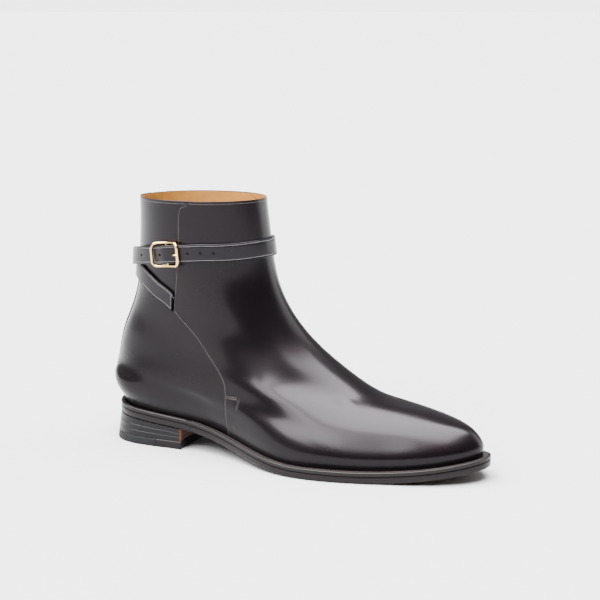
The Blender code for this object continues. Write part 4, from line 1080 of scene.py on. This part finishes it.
rail = buckle["height"] / 2 - buckle["wide"]
barLine = (middle + outward * bow) + np.outer(np.linspace(-rail, rail, 12), up)
rings = tubeRings(barLine, np.tile(along, (12, 1)), np.tile(outward, (12, 1)), buckle["bar"],
                  buckle["bar"], count=12)
addLoft("buckleBar", rings, brass, "buckle_brass")


def prongPath():
    # An eye round the bar, then under the strap, up through its hole and over the frame's front end
    foot = middle + outward * bow
    eye = buckle["bar"] + 0.0003 + buckle["prong"]
    loop = [foot + along * eye * math.cos(a) + outward * eye * math.sin(a)
            for a in np.radians(np.arange(-215, 61, 25))]
    height = buckle["z"] * upper["collarHeight"]
    span = (buckle["length"] / 2 - 0.001) * perMetreTurn
    over = buckle["frontStand"] + buckle["deep"] / 2 + buckle["prong"]
    rest = []
    for share, stand, lifted in ((0.24, 0.0026, 0.0005), (0.42, 0.0024, 0.001), (0.56, 0.0027, 0.002),
                                 (0.66, 0.0040, 0.003), (0.76, over - 0.0004, 0.004),
                                 (0.88, over + 0.0003, 0.005), (1.0, over, 0.006),
                                 (1.07, over - 0.0003, 0.006)):
        rest.append(shaftPoint(buckle["turns"] + share * span, height + lifted * upper["collarHeight"],
                               stand))
    points = np.array(loop + rest)
    run = runAlong(points)
    fine = np.linspace(0, run[-1], 90)
    return splinePick(run, np.repeat(points[:, None], len(fine), axis=1), fine)


path = prongPath()
tangent = unit(np.gradient(path, axis=0))
side = np.tile(up, (len(path), 1))
lift = unit(np.cross(side, tangent))
taper = np.clip((len(path) - 1 - np.arange(len(path))) / 5, 0.3, 1) ** 0.5
rings = tubeRings(path, side, lift, buckle["prong"] * taper, buckle["prong"] * taper, count=12)
addLoft("buckleProng", rings, brass, "buckle_brass", replaces=("buckle_prong",))
print("buckle made")


# Stitches

thread = {
    "pitch": 0.00165,
    "size": (0.00058, 0.00024, 0.00018),
    "strapSize": (0.00060, 0.00026, 0.00026),
    "edgeIn": 0.0013,
    "rimIn": 0.0020,
    "weltSize": (0.00085, 0.00034, 0.00026),
    "weltIn": 0.0024,
    "soleSize": (0.0013, 0.0004, 0.0003),
    "solePitch": 0.0034,
    "nailSize": (0.0007, 0.0007, 0.00022),
}


def upperRow(angle, level, out=0.0, sideways=0.0):
    # A row on the upper's face, moved sideways from the given line along the surface
    at, facing = onUpper(angle, level, out), lastFrame(angle, level)[1]
    ahead = unit(np.gradient(at, axis=0))
    return at + np.cross(facing, ahead) * np.reshape(sideways, (-1, 1)), facing


def stitchRow(path, facing):
    # Stitches at the thread's pitch along a path
    return evenly(path, facing, thread["pitch"])


rows = []


def addRow(*where):
    # A row of stitches on the upper, kept for the piece made below
    rows.append(stitchRow(*upperRow(*where)))


seamLevels = upperRows(220, 80)
seamLevels = seamLevels[seamLevels > levelKnots[1]]
seam = vampEdgeAngle(seamLevels)
for side, sign in ((seam, 1), (fullTurn - seam, -1)):
    path, facing = upperRow(side, seamLevels, 0.0, -sign * thread["edgeIn"])
    keep = path[:, 2] < upper["collarHeight"] - thread["rimIn"]
    rows.append(stitchRow(path[keep], facing[keep]))
rimLevel = 1 - thread["rimIn"] * levelPerMetre
seamAtRim = vampEdgeAngle(np.array([rimLevel]))[0] + 0.05
frontRim = np.linspace(seamAtRim, fullTurn - seamAtRim, 300)
backRim = np.linspace(-seamAtRim + 0.06, seamAtRim - 0.06, 300)
addRow(frontRim, rimLevel)
for some in (backRim[backRim > 0.24], backRim[backRim < -0.24]):
    addRow(some, rimLevel, -calfThick)

levels = upperRows(120, 20)
levels = levels[levels > levelKnots[1] + 0.03]
for sign in (-1, 1):
    line = sign * (backstay["wide"] / 2 - backstay["stitchIn"]) / metresPerRadian(0, levels, 0.02)
    addRow(line, levels, backstay["proud"])

# The stitched tab beside the seam's foot: heights and distances from the seam
tab = {"top": 0.0488, "foot": 0.0235, "wide": 0.0125, "between": 0.0013}
seamHeight = lastPoint(seam, seamLevels)[:, 2]
for sign in (1, -1):
    for shift in (0.0, tab["between"]):
        z = np.linspace(tab["foot"], tab["top"] - shift, 60)
        angle = np.interp(z, seamHeight, seam)
        level = levelAtHeight(angle, z)
        lean = 0.75 + 0.35 * smoothStep(z, tab["foot"], tab["top"])
        addRow(angle if sign > 0 else fullTurn - angle, level, 0.0, -sign * (tab["wide"] * lean - shift))
        across = np.linspace(0.0018, tab["wide"] * 1.08, 30)
        topAngle = np.interp(tab["top"] - shift, z, angle)
        line = topAngle + across / metresPerRadian(topAngle, level[-1])
        height = tab["top"] - shift + 0 * line
        line = line if sign > 0 else fullTurn - line
        addRow(line, levelAtHeight(line, height))
addBeads("upperStitches", rows, thread["size"], seamThread, "upper_calf")

rows = []
half = strap["wide"] / 2 - strap["stitchIn"]
run = np.linspace(0.0012, strapLength - 0.0035, 900)
faceOut = strap["thick"] - 0.00012
for sign in (-1, 1):
    path = strapPoint(run, sign * half, faceOut)
    facing = unit(strapPoint(run, sign * half, faceOut + 0.001) - path)
    rows.append(stitchRow(path, facing))
for end in (strap["endSlant"] + 0.0012, strapLength - 0.0028):
    across = np.linspace(-half, half, 40) * 0.92
    slanted = end + (strap["endSlant"] * across / half if end < 0.01 else 0 * across)
    path = strapPoint(slanted, across, faceOut)
    rows.append(stitchRow(path, unit(strapPoint(slanted, across, faceOut + 0.001) - path)))
# The strap's stitches take the paler thread, whose tone carries a painted highlight.
addBeads("strapStitches", rows, thread["strapSize"], strapThreadPaintedLight, "strap_calf")

angle = np.linspace(breastAngle + 0.02, fullTurn - breastAngle - 0.02, 1400)
path = onSole(angle, -thread["weltIn"], weltFoot + sole["weltThick"] - 0.00005)
row = evenly(path, np.tile((0, 0, 1.0), (len(path), 1)), edge["weltPitch"])
addBeads("weltStitches", [row], thread["weltSize"], weltThread, "welt_leather")

angle = np.linspace(breastAngle + 0.1, fullTurn - breastAngle - 0.1, 1400)
path = onSole(angle, -edge["channelIn"], edge["channelDeep"] * 0.6)
row = evenly(path, np.tile((0, 0, -1.0), (len(path), 1)), thread["solePitch"])
addBeads("soleStitches", [row], thread["soleSize"], weltThread, "sole_leather")

# Brass nails in the top piece: x from the heel's back and y, four outside and two inside
nails = np.array([(0.0445, -0.0245), (0.0490, -0.0245), (0.0535, -0.0242), (0.0575, -0.0238),
                  (0.0490, 0.0235), (0.0560, 0.0225)])
heads = np.column_stack([nails, np.full(len(nails), 0.00012)])
row = heads, np.tile((1.0, 0, 0), (len(nails), 1)), np.tile((0, 0, -1.0), (len(nails), 1))
addBeads("heelNails", [row], thread["nailSize"], brass, "sole_leather")
print("stitches made")


# Floor, light and camera

def makeFloor():
    # One wide square at height 0, in matt pale paper with nearly no gloss
    size = 60.0
    mesh = bpy.data.meshes.new("paleFloor")
    corners = [(-size, -size, 0), (size, -size, 0), (size, size, 0), (-size, size, 0)]
    mesh.from_pydata(corners, [], [(0, 1, 2, 3)])
    floor = bpy.data.objects.new("paleFloor", mesh)
    bpy.context.scene.collection.objects.link(floor)
    material, _, shader, _ = startMaterial("palePaperFloor")
    shader.inputs["Base Color"].default_value = hexLinear("#9E9E9F")
    shader.inputs["Roughness"].default_value = 0.9
    shader.inputs["Specular IOR Level"].default_value = 0.1
    mesh.materials.append(material)


camera = {
    "at": (0.6244, -0.9704, 0.3346),
    "azimuth": math.radians(27.38),
    "down": math.radians(11.16),
    "roll": math.radians(0.15),
    "lens": 90.0,
    "sensor": 36.0,
}


def makeCamera():
    # Turned by azimuth, looking down, and rolled slightly, as the photo was taken
    data = bpy.data.cameras.new("photoCamera")
    data.lens, data.sensor_width = camera["lens"], camera["sensor"]
    eye = bpy.data.objects.new("photoCamera", data)
    eye.location = camera["at"]
    eye.rotation_mode = "XYZ"
    eye.rotation_euler = (math.pi / 2 - camera["down"], camera["roll"], camera["azimuth"])
    bpy.context.scene.collection.objects.link(eye)
    bpy.context.scene.camera = eye


studio = {
    "panel": 38.0,            # radiance of the overhead softbox
    "panelX": (-1.25, -0.95, 0.40, 0.62),   # its sides as slopes x/z and y/z, each with a soft edge
    "panelY": (-0.84, -0.44, 0.28, 0.46),
    "wing": 30.0,             # a narrower wing of it, let down on the outer side
    "wingX": (-1.15, -0.80, -0.42, -0.15),
    "wingY": (-2.10, -1.30, -0.90, -0.50),
    "apron": 34.0,            # and a shorter one beside that
    "apronX": (-0.85, -0.50, 0.05, 0.32),
    "apronY": (-1.50, -1.00, -0.90, -0.50),
    "strip": 5.0,             # a tall strip light in front of the boot, to the inner side
    "stripTurn": math.radians(45),
    "stripHalf": (0.14, 0.36),
    "stripTop": (0.66, 0.82),
    "left": 0.6,              # a weak broad glow from behind the heel
    "leftFrom": (-0.85, -0.5, 0.12),
    "fill": 0.4,              # a weak wide glow from the inner side
    "fillFrom": (0.25, 0.95, 0.15),
    "dark": 0.15,             # the surround
    "far": 3.7,               # the floor's own brightness, carried on past its far edge
}


def makeWorld():
    # A painted studio: each light is a patch of directions with soft edges on a dark surround
    world = bpy.data.worlds.new("softStudio")
    bpy.context.scene.world = world
    world.use_nodes = True
    tree = world.node_tree
    direction = addNode(tree, "ShaderNodeTexCoord").outputs["Generated"]
    x, y, z = addNode(tree, "ShaderNodeSeparateXYZ", links={0: direction}).outputs

    def calculate(kind, first, second):
        links = {k: v for k, v in enumerate((first, second)) if not isinstance(v, (int, float))}
        numbers = {k: v for k, v in enumerate((first, second)) if isinstance(v, (int, float))}
        return addNode(tree, "ShaderNodeMath", {"operation": kind, **numbers}, links).outputs[0]

    def ramp(value, low, high):
        return addNode(tree, "ShaderNodeMapRange", {"interpolation_type": "SMOOTHSTEP", "From Min": low,
                                                    "From Max": high}, {"Value": value}).outputs[0]

    def fade(value, high, low):
        return calculate("SUBTRACT", 1.0, ramp(value, low, high))

    def product(*values):
        found = values[0]
        for value in values[1:]:
            found = calculate("MULTIPLY", found, value)
        return found

    lifted = calculate("MAXIMUM", z, 0.02)
    slopes = calculate("DIVIDE", x, lifted), calculate("DIVIDE", y, lifted)
    overhead = 0.0
    for box in ("panel", "wing", "apron"):
        patch = studio[box]
        for slope, edges in zip(slopes, (studio[box + "X"], studio[box + "Y"])):
            patch = product(patch, ramp(slope, *edges[:2]), fade(slope, edges[3], edges[2]))
        overhead = calculate("MAXIMUM", overhead, product(patch, ramp(z, 0.0, 0.08)))
    c, s = math.cos(studio["stripTurn"]), math.sin(studio["stripTurn"])
    ahead = calculate("ADD", product(x, c), product(y, s))
    beside = calculate("ABSOLUTE", calculate("SUBTRACT", product(y, c), product(x, s)), 0.0)
    strip = product(studio["strip"], fade(beside, studio["stripHalf"][1], studio["stripHalf"][0]),
                    ramp(ahead, 0.0, 0.1), fade(z, studio["stripTop"][1], studio["stripTop"][0]))
    total = calculate("ADD", calculate("ADD", overhead, strip), studio["dark"])
    for glow in ("left", "fill"):
        aim = unit(np.array(studio[glow + "From"]))
        facing = calculate("ADD", calculate("ADD", product(x, float(aim[0])), product(y, float(aim[1]))),
                           product(z, float(aim[2])))
        total = calculate("ADD", total, product(studio[glow], ramp(facing, 0.35, 1.0)))
    total = calculate("ADD", total, product(studio["far"], fade(z, 0.03, 0.015)))
    back = tree.nodes["Background"]
    back.inputs["Color"].default_value = hexLinear("#FAFAFC")
    tree.links.new(total, back.inputs["Strength"])


makeFloor()
makeWorld()
makeCamera()
